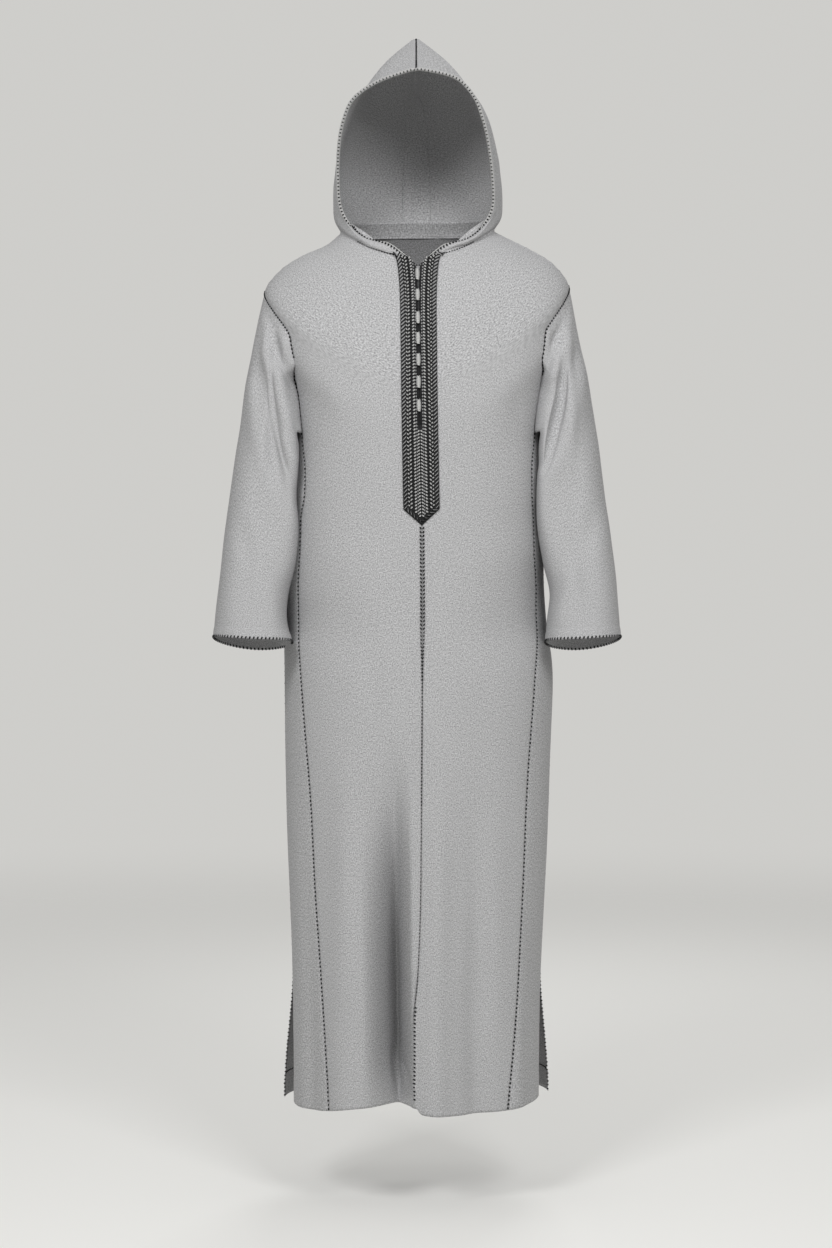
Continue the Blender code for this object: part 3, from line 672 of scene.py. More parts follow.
# %% Panels of the body
def rows_down(first_row, last_row, angle):
    """A function from 0 to 1 into body rows, in even steps of cloth down this angle."""
    rows = np.linspace(first_row, last_row, 500)
    along = lengths_along(body(rows, np.full(rows.shape, angle)))
    return lambda share: np.interp(share * along[-1], along, rows)


def panel_place(first_row, edges, middle, tucked=None, corner=False):
    """Lays a sheet between two edges, which edges(rows) gives as angles."""
    row_of = rows_down(first_row, HEM_ROW, middle)

    def place(across, down):
        row = row_of(down)
        if corner:
            short = CORNER * (1.0 - np.clip(across / 0.1, 0.0, 1.0)) ** 2
            row = np.minimum(row, HEM_ROW - short * (1.0 + (HEM_ROW - row)))
        first, last = edges(row_of(down))
        angle = first + (last - first) * across
        held = 0.0 if tucked is None else tucked(row, angle)
        return body(row, angle, held)

    return place


def edges_between(first_seam, last_seam, turn=0.0):
    """A panel's two edges, as a function of the row.

    The seams are 0 at the centre, 1 and 2 beside the fronts, 3 and 4 at the sides. Odd ones are at the
    viewer's left.
    """

    def edges(rows):
        angles = between(SEAM_ANGLES, rows, steady=True)
        return angles[first_seam] + half_gap(rows), angles[last_seam] + turn - half_gap(rows)

    return edges


def right_front_edges(rows):
    """The right front's edges. Where the front is open it reaches on under the left front."""
    under = np.radians(REACH_UNDER) * ease((SLIT_TOP_Z - 14.0 - between(BODY, rows)[7]) / 60.0)
    first, last = edges_between(1, 0)(rows)
    return first, last + under


# %% [markdown]
# Creases
#
# The long folds are in the form itself. Sharper ones run down from the armholes over the sleeves, where
# the cloth is pulled, and a few short ones lie near the hem. They are drawn as lines over the front,
# about where the real garment has them. The ones over the back are guessed.

# %% Where the creases lie
# points as x, z; width, depth, fade
SLEEVE_CREASES = (
    (((-228, -143), (-221, -166), (-211, -193), (-198, -218), (-187, -245)), 9.0, -7.0, 0.3),
    (((-240, -181), (-237, -216), (-233, -251), (-227, -288), (-219, -334), (-212, -374), (-199, -432)),
     12.0, -9.5, 0.3),
    (((-198, -288), (-191, -319), (-185, -349)), 7.0, -4.5, 0.4),
    (((-262, -220), (-266, -300), (-262, -380)), 14.0, -3.4, 0.5),
    (((-272, -420), (-262, -480), (-246, -540)), 14.0, -3.6, 0.5),
    (((-240, -470), (-246, -540), (-252, -610)), 13.0, 3.0, 0.4),
    (((228, -135), (215, -164), (204, -201), (194, -219)), 9.0, -7.0, 0.3),
    (((240, -160), (232, -207), (226, -250), (215, -293), (198, -351), (187, -369)), 12.0, -9.5, 0.3),
    (((262, -210), (268, -290), (262, -370)), 14.0, -3.4, 0.5),
    (((276, -400), (266, -460), (248, -530)), 14.0, -3.8, 0.5),
    (((238, -480), (246, -550), (256, -612)), 13.0, 3.0, 0.4),
)
FRONT_CREASES = (
    (((-160, -215), (-150, -265), (-142, -320)), 16.0, -1.6, 0.5),
    (((168, -205), (158, -262), (146, -318)), 16.0, -1.5, 0.5),
    (((-120, -120), (-96, -170), (-80, -230)), 18.0, 1.2, 0.5),
    (((118, -125), (98, -175), (84, -240)), 18.0, 1.2, 0.5),
    (((-24, -1262), (-16, -1290), (-8, -1322)), 4.5, -3.6, 0.4),
    (((-38, -1248), (-32, -1282), (-24, -1330)), 5.5, -4.0, 0.4),
    (((92, -900), (98, -1080), (104, -1300)), 16.0, -2.6, 0.5),
    (((38, -820), (36, -1000), (34, -1180)), 16.0, 1.8, 0.5),
    (((-104, -760), (-106, -950), (-104, -1200)), 16.0, 1.8, 0.5),
    (((-70, -560), (-64, -700), (-52, -860)), 18.0, -1.4, 0.5),
)
BACK_CREASES = (
    (((-170, -140), (-150, -200), (-120, -262)), 14.0, -3.0, 0.5),
    (((168, -150), (146, -214), (112, -280)), 14.0, -3.0, 0.5),
    (((-60, -60), (-20, -92), (30, -96), (74, -64)), 13.0, -2.0, 0.5),
    (((-96, -380), (-84, -560), (-88, -760)), 17.0, -2.8, 0.5),
    (((70, -420), (62, -600), (70, -820)), 17.0, -2.8, 0.5),
    (((128, -520), (124, -760), (116, -1020)), 15.0, 2.2, 0.5),
    (((-20, -900), (-26, -1080), (-20, -1280)), 16.0, 2.4, 0.5),
)

# %% Cut and lay the panels
FRONT_HEM = 36.0
BACK_HEM = 35.0
worn = [swell(1.2, 140.0, 1), swell(0.12, 30.0, 2)]
front_reliefs = worn + [stitched_sides(), hem(FRONT_HEM), creases(FRONT_CREASES)]
back_reliefs = worn + [stitched_sides(), hem(BACK_HEM), creases(BACK_CREASES, facing=1.0)]
# node, piece, cells across, cells down, place
FRONT_PANELS = (
    ("front_right", "front_panel_right", 64, 290, panel_place(0.0, right_front_edges, -0.5, under_the_other)),
    ("front_left", "front_panel_left", 64, 290, panel_place(0.0, edges_between(0, 2), 0.5, corner=True)),
    ("gore_right", "gore_panel_right", 26, 220, panel_place(UNDERARM_ROW, edges_between(3, 1), -1.3)),
    ("gore_left", "gore_panel_left", 26, 220, panel_place(UNDERARM_ROW, edges_between(2, 4), 1.3)),
)
panels = {}
for node, name, cells_across, cells_down, place in FRONT_PANELS:
    panels[node] = lay_sheet(name, cells_across, cells_down, place, front_reliefs)
back_place = panel_place(0.0, edges_between(4, 3, turn=2.0 * math.pi), math.pi)
panels["back"] = lay_sheet("back_panel", 120, 280, back_place, back_reliefs)

# %% [markdown]
# The sleeves
#
# Each sleeve is one flat sheet, rolled into a tube whose edges are merged at the underside, where the
# real one is taken to be sewn. The cuff is turned up by 17 mm, which shows as a faint line.

# %% Roll the sleeves
CUFF_HEM = 17.0
sleeve_reliefs = worn + [hem(CUFF_HEM), creases(SLEEVE_CREASES), creases(SLEEVE_CREASES, facing=1.0)]
for name, side in (("sleeve_right", -1.0), ("sleeve_left", 1.0)):
    panels[name] = lay_sheet(name + "_cloth", 104, 150, sleeve_place(side), sleeve_reliefs, closed=True)

# %% [markdown]
# The hood
#
# Its two halves stand up from the neckline, with one seam over the top. The front parts run on below the
# opening as a narrow strip that is rolled outwards. A fine grid keeps the stitched face edge a true curve,
# which a coarse one would turn into a polygon.


# %% Shape the hood
def hood_place(side):
    def place(across, down):
        columns = across[0] if side > 0 else 1.0 - across[0]
        order = np.argsort(columns)
        points = hood_points(side, HOOD_ROWS * (1.0 - down[::-1, 0]), columns[order])
        return points[::-1][:, np.argsort(order)]

    return place


HOOD_CREASES = (
    (((-88, -18), (-74, -22), (-58, -28), (-44, -33)), 3.6, -4.5, 0.35),
    (((78, -17), (66, -21), (52, -27), (38, -33)), 3.6, -4.5, 0.35),
)
hood_reliefs = [swell(1.4, 90.0, 3), swell(0.15, 26.0, 4), creases(HOOD_CREASES)]
for name, side in (("hood_right", -1.0), ("hood_left", 1.0)):
    panels[name] = lay_sheet(name + "_cloth", 90, 110, hood_place(side), hood_reliefs)
for node, panel in panels.items():
    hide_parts(node)

# %% [markdown]
# Shader maths
#
# A finish is a small graph of nodes. Wiring it by hand buries the idea under link calls, so one small
# class stands for a socket and lets ordinary Python expressions add the Math nodes. Everything else comes
# from one method, `node`, which takes the node's type, its settings and what goes into its sockets.


# %% A socket that can be used in expressions
class Term:
    """One value in a material's node tree."""

    def __init__(self, tree, socket=None):
        self.tree = tree
        self.socket = socket

    def node(self, kind, settings=None, inputs=None, output=0):
        made = self.tree.nodes.new(kind)
        for name, value in (settings or {}).items():
            if name == "stops":
                for number, (place, colour) in enumerate(value):
                    stops = made.color_ramp.elements
                    stop = stops[number] if number < len(stops) else stops.new(place)
                    stop.position = place
                    stop.color = colour
            else:
                setattr(made, name, value)
        for name, value in (inputs or {}).items():
            if isinstance(value, Term):
                self.tree.links.new(value.socket, made.inputs[name])
            else:
                made.inputs[name].default_value = value
        return Term(self.tree, made.outputs[output] if made.outputs else None)

    def maths(self, operation, first, second=0.0):
        return self.node("ShaderNodeMath", {"operation": operation}, {0: first, 1: second})

    def __add__(self, other):
        return self.maths("ADD", self, other)

    __radd__ = __add__

    def __mul__(self, other):
        return self.maths("MULTIPLY", self, other)

    __rmul__ = __mul__

    def __sub__(self, other):
        return self.maths("SUBTRACT", self, other)

    def __rsub__(self, other):
        return self.maths("SUBTRACT", other, self)

    def sine(self):
        return self.maths("SINE", self)

    def between(self, low, high):
        """0 below low, 1 above high, and a soft step between."""
        inputs = {"Value": self, "From Min": low, "From Max": high}
        settings = {"interpolation_type": "SMOOTHSTEP"}
        return self.node("ShaderNodeMapRange", settings, inputs)

    def grain(self, scale, detail=2.0, stretch=(1.0, 1.0, 1.0)):
        """Noise from -1 to 1 about, read at this vector."""
        stretched = self.node("ShaderNodeVectorMath", {"operation": "MULTIPLY"}, {0: self, 1: stretch})
        found = self.node("ShaderNodeTexNoise", {}, {"Vector": stretched, "Scale": scale, "Detail": detail})
        return (found - 0.5) * 2.0

    def blend(self, first, second):
        """One colour at 0 and the other at 1."""
        return self.node("ShaderNodeMix", {"data_type": "RGBA"}, {0: self, 6: first, 7: second}, output=2)


def empty_graph(owner):
    """Clears the node tree of a material or of the world, and starts a new graph in it."""
    owner.use_nodes = True
    owner.node_tree.nodes.clear()
    return Term(owner.node_tree)


def new_material(name, colour, roughness, bump, strength, distance, sheen):
    """A finish whose colour, roughness and bump are functions of a Term that starts its graph."""
    made = bpy.data.materials.new(name)
    start = empty_graph(made)
    raised = {"Height": bump(start), "Strength": strength, "Distance": distance}
    normal = start.node("ShaderNodeBump", {}, raised)
    inputs = {"Base Color": colour(start), "Roughness": roughness(start), "Normal": normal}
    inputs.update({"Sheen Weight": sheen, "Sheen Roughness": 0.5, "Specular IOR Level": 0.25})
    shader = start.node("ShaderNodeBsdfPrincipled", {}, inputs)
    start.node("ShaderNodeOutputMaterial", {}, {"Surface": shader})
    return made


# %% [markdown]
# Grey crepe
#
# The cloth is a matte crepe of light and dark grey yarns. From a few steps away it reads as pale grey
# with a fine salt-and-pepper fleck that runs a little longer across than down. The fleck is noise on the
# cloth's own UV map in metres, at three sizes, and the weave is a bump of two crossed sine waves a yarn
# apart, made uneven by more noise.

# %% Grey crepe
CREPE = (0.43, 0.43, 0.437)
YARN = 0.0011


def cloth_vector(start):
    return start.node("ShaderNodeUVMap", {"uv_map": "cloth"})


def crepe_colour(tint):
    def colour(start):
        place = cloth_vector(start)
        fleck = place.grain(430.0, 1.0, (0.8, 1.0, 1.0))
        slub = place.grain(190.0, 1.0, (0.4, 1.6, 1.0))
        cloud = place.grain(9.0, 2.0)
        level = 0.5 + fleck * 1.15 + slub * 0.14 + cloud * 0.05
        dark = tuple(tint * c * 0.60 for c in CREPE) + (1.0,)
        light = tuple(tint * c * 1.40 for c in CREPE) + (1.0,)
        return level.blend(dark, light)

    return colour


def crepe_bump(start):
    place = cloth_vector(start)
    x, y = (place.node("ShaderNodeSeparateXYZ", {}, {"Vector": place}, output=k) for k in (0, 1))
    waver = place.grain(420.0, 2.0)
    turns = 2.0 * math.pi / YARN
    warp = (x * turns + waver * 1.8).sine()
    weft = (y * turns + waver * 1.8).sine()
    return (warp * weft) * 0.45 + waver * 0.2


def crepe_roughness(start):
    return 0.86 + cloth_vector(start).grain(300.0) * 0.06


def crepe_finish(name, tint, sheen):
    return new_material(name, crepe_colour(tint), crepe_roughness, crepe_bump, 0.35, 0.0006, sheen)


def finish_with(piece, finish):
    """Gives a piece its material."""
    piece.data.materials.append(finish)


crepe = crepe_finish("grey_crepe_cloth", 1.0, 0.06)
for panel in panels.values():
    finish_with(panel, crepe)

# %% [markdown]
# Painted shade inside the slits
#
# Inside the side slits the back panel shows its wrong side. That face is given a darker copy of the crepe, a
# painted shade for the shadow in the narrow slits.
# The wall's inner face takes the next material in the list, so one sheet can carry both.

# %% Painted shade on the wrong side of the back panel
# A darker copy of the crepe on the inner face: painted shade, not the cloth's own colour.
panels["back"].data.materials.append(crepe_finish("grey_crepe_painted_shade_inside", 0.6, 0.1))
panels["back"].modifiers["wall"].material_offset = 1

# %% [markdown]
# Stitches and braid
#
# A stitch of thick thread is a small bead of yarn, and a plait is rows of slanted beads. One bead is made
# with `bmesh.ops.create_uvsphere`, doubled until there are enough, and each copy is then stretched, turned
# and set on its place along a line. A texture could paint the dots, but beads catch the light as
# thread does and stay crisp close up.


# %% Beads along a line
def along_line(points, outs, pitch, start=0.0):
    """Even places along a line: their points, unit vectors along it and out of the cloth."""
    marks = lengths_along(points)
    count = max(2, int(round((marks[-1] - start) / pitch)))
    places = start + (np.arange(count) + 0.5) * (marks[-1] - start) / count
    tangent = unit(read_line(places + 0.4, marks, points) - read_line(places - 0.4, marks, points))
    out = read_line(places, marks, outs)
    out = unit(out - tangent * np.sum(out * tangent, axis=-1, keepdims=True))
    return read_line(places, marks, points), tangent, out


def copies_of(work, count):
    """One mesh with this many copies of what is in work, one after another."""
    mesh = bpy.data.meshes.new("copies")
    work.to_mesh(mesh)
    each = len(mesh.vertices)
    while len(mesh.vertices) < count * each:
        work.clear()
        work.from_mesh(mesh)
        work.from_mesh(mesh)
        work.to_mesh(mesh)
    spare = list(work.verts)[count * each :]
    if spare:
        bmesh.ops.delete(work, geom=spare, context="VERTS")
        work.to_mesh(mesh)
    return mesh


def beads(name, groups, finish, corners=6, rings=4):
    """One piece of many beads. A group is (centres, long axis, out, length, width, height)."""
    work = bmesh.new()
    bmesh.ops.create_uvsphere(work, u_segments=corners, v_segments=rings, radius=0.5)
    one = np.array([tuple(vertex.co) for vertex in work.verts])
    count = sum(len(group[0]) for group in groups)
    mesh = copies_of(work, count)
    work.free()
    places = []
    for centres, axis, out, length, width, height in groups:
        side = np.cross(out, axis)
        shift = (
            one[None, :, 2:3] * axis[:, None] * length
            + one[None, :, 0:1] * side[:, None] * width
            + one[None, :, 1:2] * out[:, None] * height
        )
        places.append((centres[:, None] + shift).reshape(-1, 3))
    mesh.vertices.foreach_set("co", (np.concatenate(places) * MM).astype(np.float32).ravel())
    mesh.update()
    made = show(name, mesh)
    finish_with(made, finish)
    print(f"{name}: {count} stitches")
    return made


def row_of_beads(points, outs, pitch, size, slant=0.0, lift=0.0, start=0.0):
    """A group of beads along a line. Slant turns each bead from along the line, in degrees."""
    centres, tangent, out = along_line(points, outs, pitch, start)
    side = np.cross(out, tangent)
    turn = math.radians(slant)
    axis = tangent * math.cos(turn) + side * math.sin(turn)
    return (centres + out * lift, axis, out, *size)


# %% [markdown]
# The seams
#
# Dark thread holds the seams beside the front panels and round the armholes, one bead every six
# millimetres or so. The edges of the slits, the cuffs and the hood are whipped: the thread goes over the
# edge, so its beads lie across the line instead of along it.

# %% Yarn and braid finishes
def yarn_bump(start):
    place = start.node("ShaderNodeTexCoord", output=3)
    return place.grain(1500.0, 2.0) + place.grain(3800.0, 1.0) * 0.4


def yarn_colour(colour, spread):
    def made(start):
        place = start.node("ShaderNodeTexCoord", output=3)
        level = 0.5 + place.grain(900.0, 2.0) * 0.5 + place.grain(60.0, 1.0) * 0.2
        dark = tuple(c * (1.0 - spread) for c in colour) + (1.0,)
        light = tuple(c * (1.0 + spread) for c in colour) + (1.0,)
        return level.blend(dark, light)

    return made


def yarn_roughness(start):
    return 0.62 + start.node("ShaderNodeTexCoord", output=3).grain(700.0) * 0.08


def yarn(name, colour, spread, sheen):
    """A finish of spun yarn, whose colour varies by this share of itself."""
    return new_material(name, yarn_colour(colour, spread), yarn_roughness, yarn_bump, 0.5, 0.0003, sheen)


dark_yarn = yarn("dark_yarn", (0.012, 0.0122, 0.013), 0.45, 0.03)
middle_yarn = yarn("middle_yarn", (0.3, 0.3, 0.303), 0.3, 0.3)
light_yarn = yarn("light_yarn", (0.42, 0.42, 0.415), 0.2, 0.3)

# %% Edges of the laid sheets
# How many cells in from an edge the way inwards is read.
INWARD_CELLS = 3


def edge_of(name, edge):
    """One edge of a sheet: its points, the ways out of the cloth and the ways in from the edge."""
    points, out = LAID[name]
    at, inner = {
        "left": (np.s_[:, 0], np.s_[:, INWARD_CELLS]),
        "right": (np.s_[:, -1], np.s_[:, -1 - INWARD_CELLS]),
        "top": (np.s_[0], np.s_[INWARD_CELLS]),
        "foot": (np.s_[-1], np.s_[-1 - INWARD_CELLS]),
    }[edge]
    return points[at], out[at], unit(points[inner] - points[at])


def split_at(line, z):
    """The parts of a line above and below this height."""
    lower = line[0][:, 2] < z
    return tuple(values[~lower] for values in line), tuple(values[lower] for values in line)


def whipped(line, pitch, size, inset, slant=20.0):
    """A group of beads that lie over an edge."""
    points, outs, inwards = line
    centres, tangent, out = along_line(points, outs, pitch)
    inward = along_line(points, inwards, pitch)[2]
    turn = math.radians(slant)
    axis = inward * math.cos(turn) + tangent * math.sin(turn)
    return (centres + inward * inset - out * CLOTH_WALL * 0.5, axis, out, *size)


# %% Sew the seams
SEAM_PITCH = 6.4
SEAM_STITCH = (3.8, 3.4, 2.8)
right_side, right_slit = split_at(edge_of("gore_panel_right", "left"), SIDE_SLIT_TOP_Z)
left_side, left_slit = split_at(edge_of("gore_panel_left", "right"), SIDE_SLIT_TOP_Z)
seam_lines = [
    edge_of("gore_panel_right", "right"),
    edge_of("gore_panel_left", "left"),
    right_side,
    left_side,
    edge_of("sleeve_right_cloth", "top"),
    edge_of("sleeve_left_cloth", "top"),
    edge_of("hood_left_cloth", "top"),
    edge_of("hood_left_cloth", "right"),
]
seam_groups = [row_of_beads(*line[:2], SEAM_PITCH, SEAM_STITCH, lift=0.3) for line in seam_lines]
beads("seam_stitches", seam_groups, dark_yarn)

# %% Whip the edges
EDGE_PITCH = 6.2
EDGE_STITCH = (5.0, 3.3, 3.5)
EDGE_INSET = 1.5
edge_lines = [
    edge_of("sleeve_right_cloth", "foot"),
    edge_of("sleeve_left_cloth", "foot"),
    split_at(edge_of("front_panel_left", "left"), SLIT_TOP_Z)[1],
    split_at(edge_of("front_panel_right", "right"), SLIT_TOP_Z)[1],
    right_slit,
    left_slit,
    split_at(edge_of("back_panel", "left"), SIDE_SLIT_TOP_Z)[1],
    split_at(edge_of("back_panel", "right"), SIDE_SLIT_TOP_Z)[1],
]
edge_groups = [whipped(line, EDGE_PITCH, EDGE_STITCH, EDGE_INSET) for line in edge_lines]
beads("edge_stitches", edge_groups, dark_yarn)

# %% The hood's edge, the neckline and the back hem
HOOD_PITCH = 5.6
HOOD_STITCH = (7.4, 3.6, 4.8)
HOOD_CORD = 2.7
CORD_INSET = 1.4
hood_lines = [edge_of("hood_right_cloth", "right"), edge_of("hood_left_cloth", "left")]


def cord_place(line, radius, inset):
    """A sheet rolled into a cord that lies along an edge."""
    points, outs, inwards = line
    middle = points + inwards * inset - outs * CLOTH_WALL * 0.5

    def place(across, down):
        spot = down * (len(points) - 1.0)
        marks = np.arange(len(points))
        centre, out, inward = (read_line(spot, marks, values) for values in (middle, outs, inwards))
        turn = (across * 2.0 * math.pi)[..., None]
        return centre + radius * (out * np.cos(turn) + inward * np.sin(turn))

    return place


for side, line in zip(("right", "left"), hood_lines):
    place = cord_place(line, HOOD_CORD, CORD_INSET)
    cord = lay_sheet("hood_edge_cord_" + side, 10, 320, place, closed=True, wall=0.0)
    finish_with(cord, light_yarn)
hood_groups = [whipped(line, HOOD_PITCH, HOOD_STITCH, CORD_INSET, slant=18.0) for line in hood_lines]
beads("hood_edge_stitches", hood_groups, dark_yarn)

hem_points, hem_out = LAID["back_panel"]
hem_row = int(np.argmin(np.abs(distance_down(hem_points)[1][:, 0] - BACK_HEM)))
hem_line = (hem_points[hem_row] - hem_out[hem_row] * CLOTH_WALL, -hem_out[hem_row])
hem_groups = [row_of_beads(*hem_line, 5.8, (3.6, 3.0, 2.4), lift=0.3)]
beads("hem_stitches", hem_groups, dark_yarn)

# How far to either side of the middle the neckline is stitched.
NECK_REACH = 92.0
neck_groups = []
for name in ("front_panel_right", "front_panel_left"):
    points, out, _ = edge_of(name, "top")
    kept = np.abs(points[:, 0]) < NECK_REACH
    neck_groups.append(row_of_beads(points[kept], out[kept], 4.6, (3.0, 2.2, 2.0), lift=0.6))
beads("neckline_stitches", neck_groups, dark_yarn)

# %% [markdown]
# Tapes inside
#
# A seam tape lies over the hood's centre seam on the inside, and a band of the same cloth stands up round
# the neckline. Both are guessed, as the photograph doesn't show them. They hide the raw edges, and here
# they also keep light from coming through the seams.


# %% Lay the tapes
TAPE_CELLS = 6


def hood_tape(across, down):
    strips = []
    for name, way in (("hood_left_cloth", 1), ("hood_right_cloth", -1)):
        points, out = LAID[name]
        points = (points - out * (CLOTH_WALL + 0.5))[:, ::way]
        rear = np.moveaxis(points[TAPE_CELLS:, -TAPE_CELLS - 1 :][:, ::-1], 0, 1)
        strips.append(np.concatenate([points[: TAPE_CELLS + 1], rear], axis=1))
    left, right = strips
    middle = (left[0] + right[0]) / 2.0
    return np.moveaxis(np.concatenate([right[1:][::-1], middle[None], left[1:]]), 0, 1)


tape_length = sum(LAID["hood_left_cloth"][0].shape[:2]) - TAPE_CELLS - 1
hood_seam_tape = lay_sheet("hood_seam_tape", 2 * TAPE_CELLS, tape_length, hood_tape, wall=0.8)

NECK_BAND_ROW = 0.16
NECK_BAND_RISE = 25.0
NECK_BAND_LEAN = 11.0


def neck_band(across, down):
    last, first = angle_at(np.zeros(2), FACE_EDGE[0, [0, 3]])
    angle = first + (2.0 * math.pi + last - first) * down
    point, out = frame_at(np.full(angle.shape, NECK_BAND_ROW), angle)
    ends = ease(np.minimum(down, 1.0 - down) / 0.12)
    rise = NECK_BAND_RISE * across * (0.35 + 0.65 * ends)
    outwards = unit(point * (1.0, 1.0, 0.0))
    lean = NECK_BAND_LEAN * across**1.4 * ends
    return point - out * (CLOTH_WALL + 0.6) - outwards * lean[..., None] + (0.0, 0.0, 1.0) * rise[..., None]


neck_facing = lay_sheet("neck_band", 14, 240, neck_band, [swell(1.2, 40.0, 6)], wall=0.9)
for tape in (hood_seam_tape, neck_facing):
    finish_with(tape, crepe)

# %% [markdown]
# The placket
#
# Two bands of plaited braid run down either side of the buttons and meet in a point. Each band is a dark
# facing with rows of thread on it. From the outside in they are a thick rope of dark and grey turns, a
# light plait with a dark line down its middle, a dark line, a light row of slanted stitches and a grey
# line. The rope turns at the foot and follows the point, and the other rows end above it.

# %% Places over the centre seam
BAND_TOP_Z = -37.0
BAND_CORNER_Z = -428.0
BAND_POINT_Z = -452.0
BAND_WIDTH = 27.6


def over_centre(z, sideways, height):
    """Points at these heights beside the centre seam, moved out from the cloth, and the way out."""
    row = row_at(z)
    centre_x = np.tan(between(SEAM_ANGLES, row, steady=True)[0]) * between(BODY, row)[0]
    point, out = frame_at(row, angle_at(row, centre_x + sideways))
    return point + out * np.asarray(height)[..., None], out


def flared(distance, z):
    """The distance from the middle, which grows where the band opens out to the neckline."""
    share = np.clip(distance / BAND_WIDTH, 0.0, 1.0)
    return distance + 16.0 * np.exp(-((BAND_TOP_Z - z) / 19.0)) * (0.35 + 0.65 * share)


def band_top(distance):
    return BAND_TOP_Z - 15.0 * (1.0 - ease(distance / 12.0))


def band_row(side, distance, height, follows_point=False):
    """The line of one row of thread, from the neckline down, and the ways out of the cloth."""
    inset = BAND_WIDTH - distance
    if follows_point:
        foot = BAND_CORNER_Z + 0.455 * inset
    else:
        foot = BAND_POINT_Z + 11.0 + 0.87 * distance
    z = np.linspace(band_top(distance), foot, 160)
    away = flared(distance, z)
    if follows_point:
        share = np.linspace(0.0, 1.0, 24)[1:]
        z = np.concatenate([z, foot + (BAND_POINT_Z + 1.32 * inset - foot) * share])
        away = np.concatenate([away, away[-1] * (1.0 - share)])
    return over_centre(z, side * away, height)


def band_place(side):
    def place(across, down):
        distance = 0.05 + (BAND_WIDTH - 0.05) * (across if side > 0 else 1.0 - across)
        foot = BAND_POINT_Z + (BAND_CORNER_Z - BAND_POINT_Z) * distance / BAND_WIDTH
        z = band_top(distance) + (foot - band_top(distance)) * down**1.1
        return over_centre(z, side * flared(distance, z), 1.5)[0]

    return place


for side, name in ((-1.0, "right"), (1.0, "left")):
    facing = lay_sheet(f"placket_{name}_facing", 24, 110, band_place(side), wall=1.2)
    finish_with(facing, dark_yarn)
    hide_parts(f"placket_{name}")

# %% Rows of thread
# distance, height, pitch, bead length, width, height, slant, finish
BAND_ROWS = (
    (4.8, 2.9, 5.0, 3.2, 2.4, 1.9, 0.0, "middle"),
    (8.2, 2.8, 5.0, 4.6, 2.9, 2.0, 52.0, "light"),
    (12.2, 3.0, 5.0, 4.0, 2.6, 2.1, 10.0, "dark"),
    (15.0, 2.9, 6.0, 4.6, 2.7, 2.2, 50.0, "light"),
    (18.4, 2.9, 6.0, 4.2, 2.5, 2.2, -46.0, "light"),
    (16.8, 3.8, 6.0, 3.0, 2.8, 2.0, 0.0, "dark"),
)
ROPE = 23.7
ROPE_PITCH = 6.2
CHAIN_TOP_Z = -306.0

rows_of = {"dark": [], "middle": [], "light": []}
for side in (-1.0, 1.0):
    for distance, height, pitch, length, width, deep, slant, finish in BAND_ROWS:
        line = band_row(side, distance, height)
        size = (length, width, deep)
        rows_of[finish].append(row_of_beads(*line, pitch, size, slant=side * slant))
    line = band_row(side, ROPE, 3.0, follows_point=True)
    rows_of["dark"].append(row_of_beads(*line, ROPE_PITCH, (10.8, 3.0, 3.0), slant=-44.0))
    rows_of["middle"].append(
        row_of_beads(*line, ROPE_PITCH, (10.0, 2.5, 3.0), slant=-44.0, start=ROPE_PITCH / 2.0)
    )
    # Below the buttons a light plait closes the middle.
    line = over_centre(np.linspace(CHAIN_TOP_Z, BAND_POINT_Z + 12.0, 90), side * 2.2, 2.8)
    rows_of["light"].append(row_of_beads(*line, 5.0, (4.2, 2.7, 2.0), slant=side * 48.0))
beads("placket_dark_thread", rows_of["dark"], dark_yarn)
beads("placket_grey_thread", rows_of["middle"], middle_yarn)
beads("placket_light_thread", rows_of["light"], light_yarn)

# %% [markdown]
# Knots, loops and the braid below
#
# Each button is a knot of light cord, an oval that is wound slantwise, and each loop is two legs of dark
# twisted cord. Under the point a narrow braid covers the centre seam. It thins out to a single line of
# stitches that runs on down to the slit.

# %% Knots and loops
# knot z, loop z
BUTTONS = (
    (-62, -79.5), (-95, -112), (-131, -148), (-163, -180), (-196, -214), (-230, -248), (-266, -289),
)
KNOT_DROP = 3.5
KNOT_HEIGHT = 4.8
KNOT_ASIDE = -1.0
LOOP_REACH = 9.0
knot_yarn = yarn("knot_yarn", (0.5, 0.5, 0.49), 0.2, 0.2)


def wound_knot(middle_z):
    """Groups of beads that lie as turns of cord over an oval."""
    turns = np.linspace(-0.86, 0.86, 7)
    z = middle_z + 8.6 * turns
    ring = 4.2 * np.sqrt(1.0 - turns**2 * 0.8)
    centre, out = over_centre(z, KNOT_ASIDE, KNOT_HEIGHT)
    tangent = unit(np.gradient(centre, axis=0))
    side = np.cross(out, tangent)
    groups = []
    for turn in (-62.0, -22.0, 22.0, 62.0):
        round_it = math.radians(turn)
        away = out * math.cos(round_it) + side * math.sin(round_it)
        along = side * math.cos(round_it) - out * math.sin(round_it)
        axis = unit(along * 0.75 + tangent * 0.66)
        spot = centre + away * (ring * 0.72)[:, None] + tangent * (0.7 if abs(turn) > 30 else -0.5)
        groups.append((spot, axis, unit(away - axis * np.sum(away * axis, axis=1)[:, None]), 4.3, 2.3, 2.0))
    return groups


wound = [wound_knot(knot_z - KNOT_DROP) for knot_z, _ in BUTTONS]
inner_turns = [group for turns in wound for group in turns[1:3]]
outer_turns = [group for turns in wound for group in (turns[0], turns[3])]
knots = beads("knot_cord", inner_turns, knot_yarn, corners=8, rings=6)
beads("knot_cord_sides", outer_turns, middle_yarn, corners=8, rings=6)

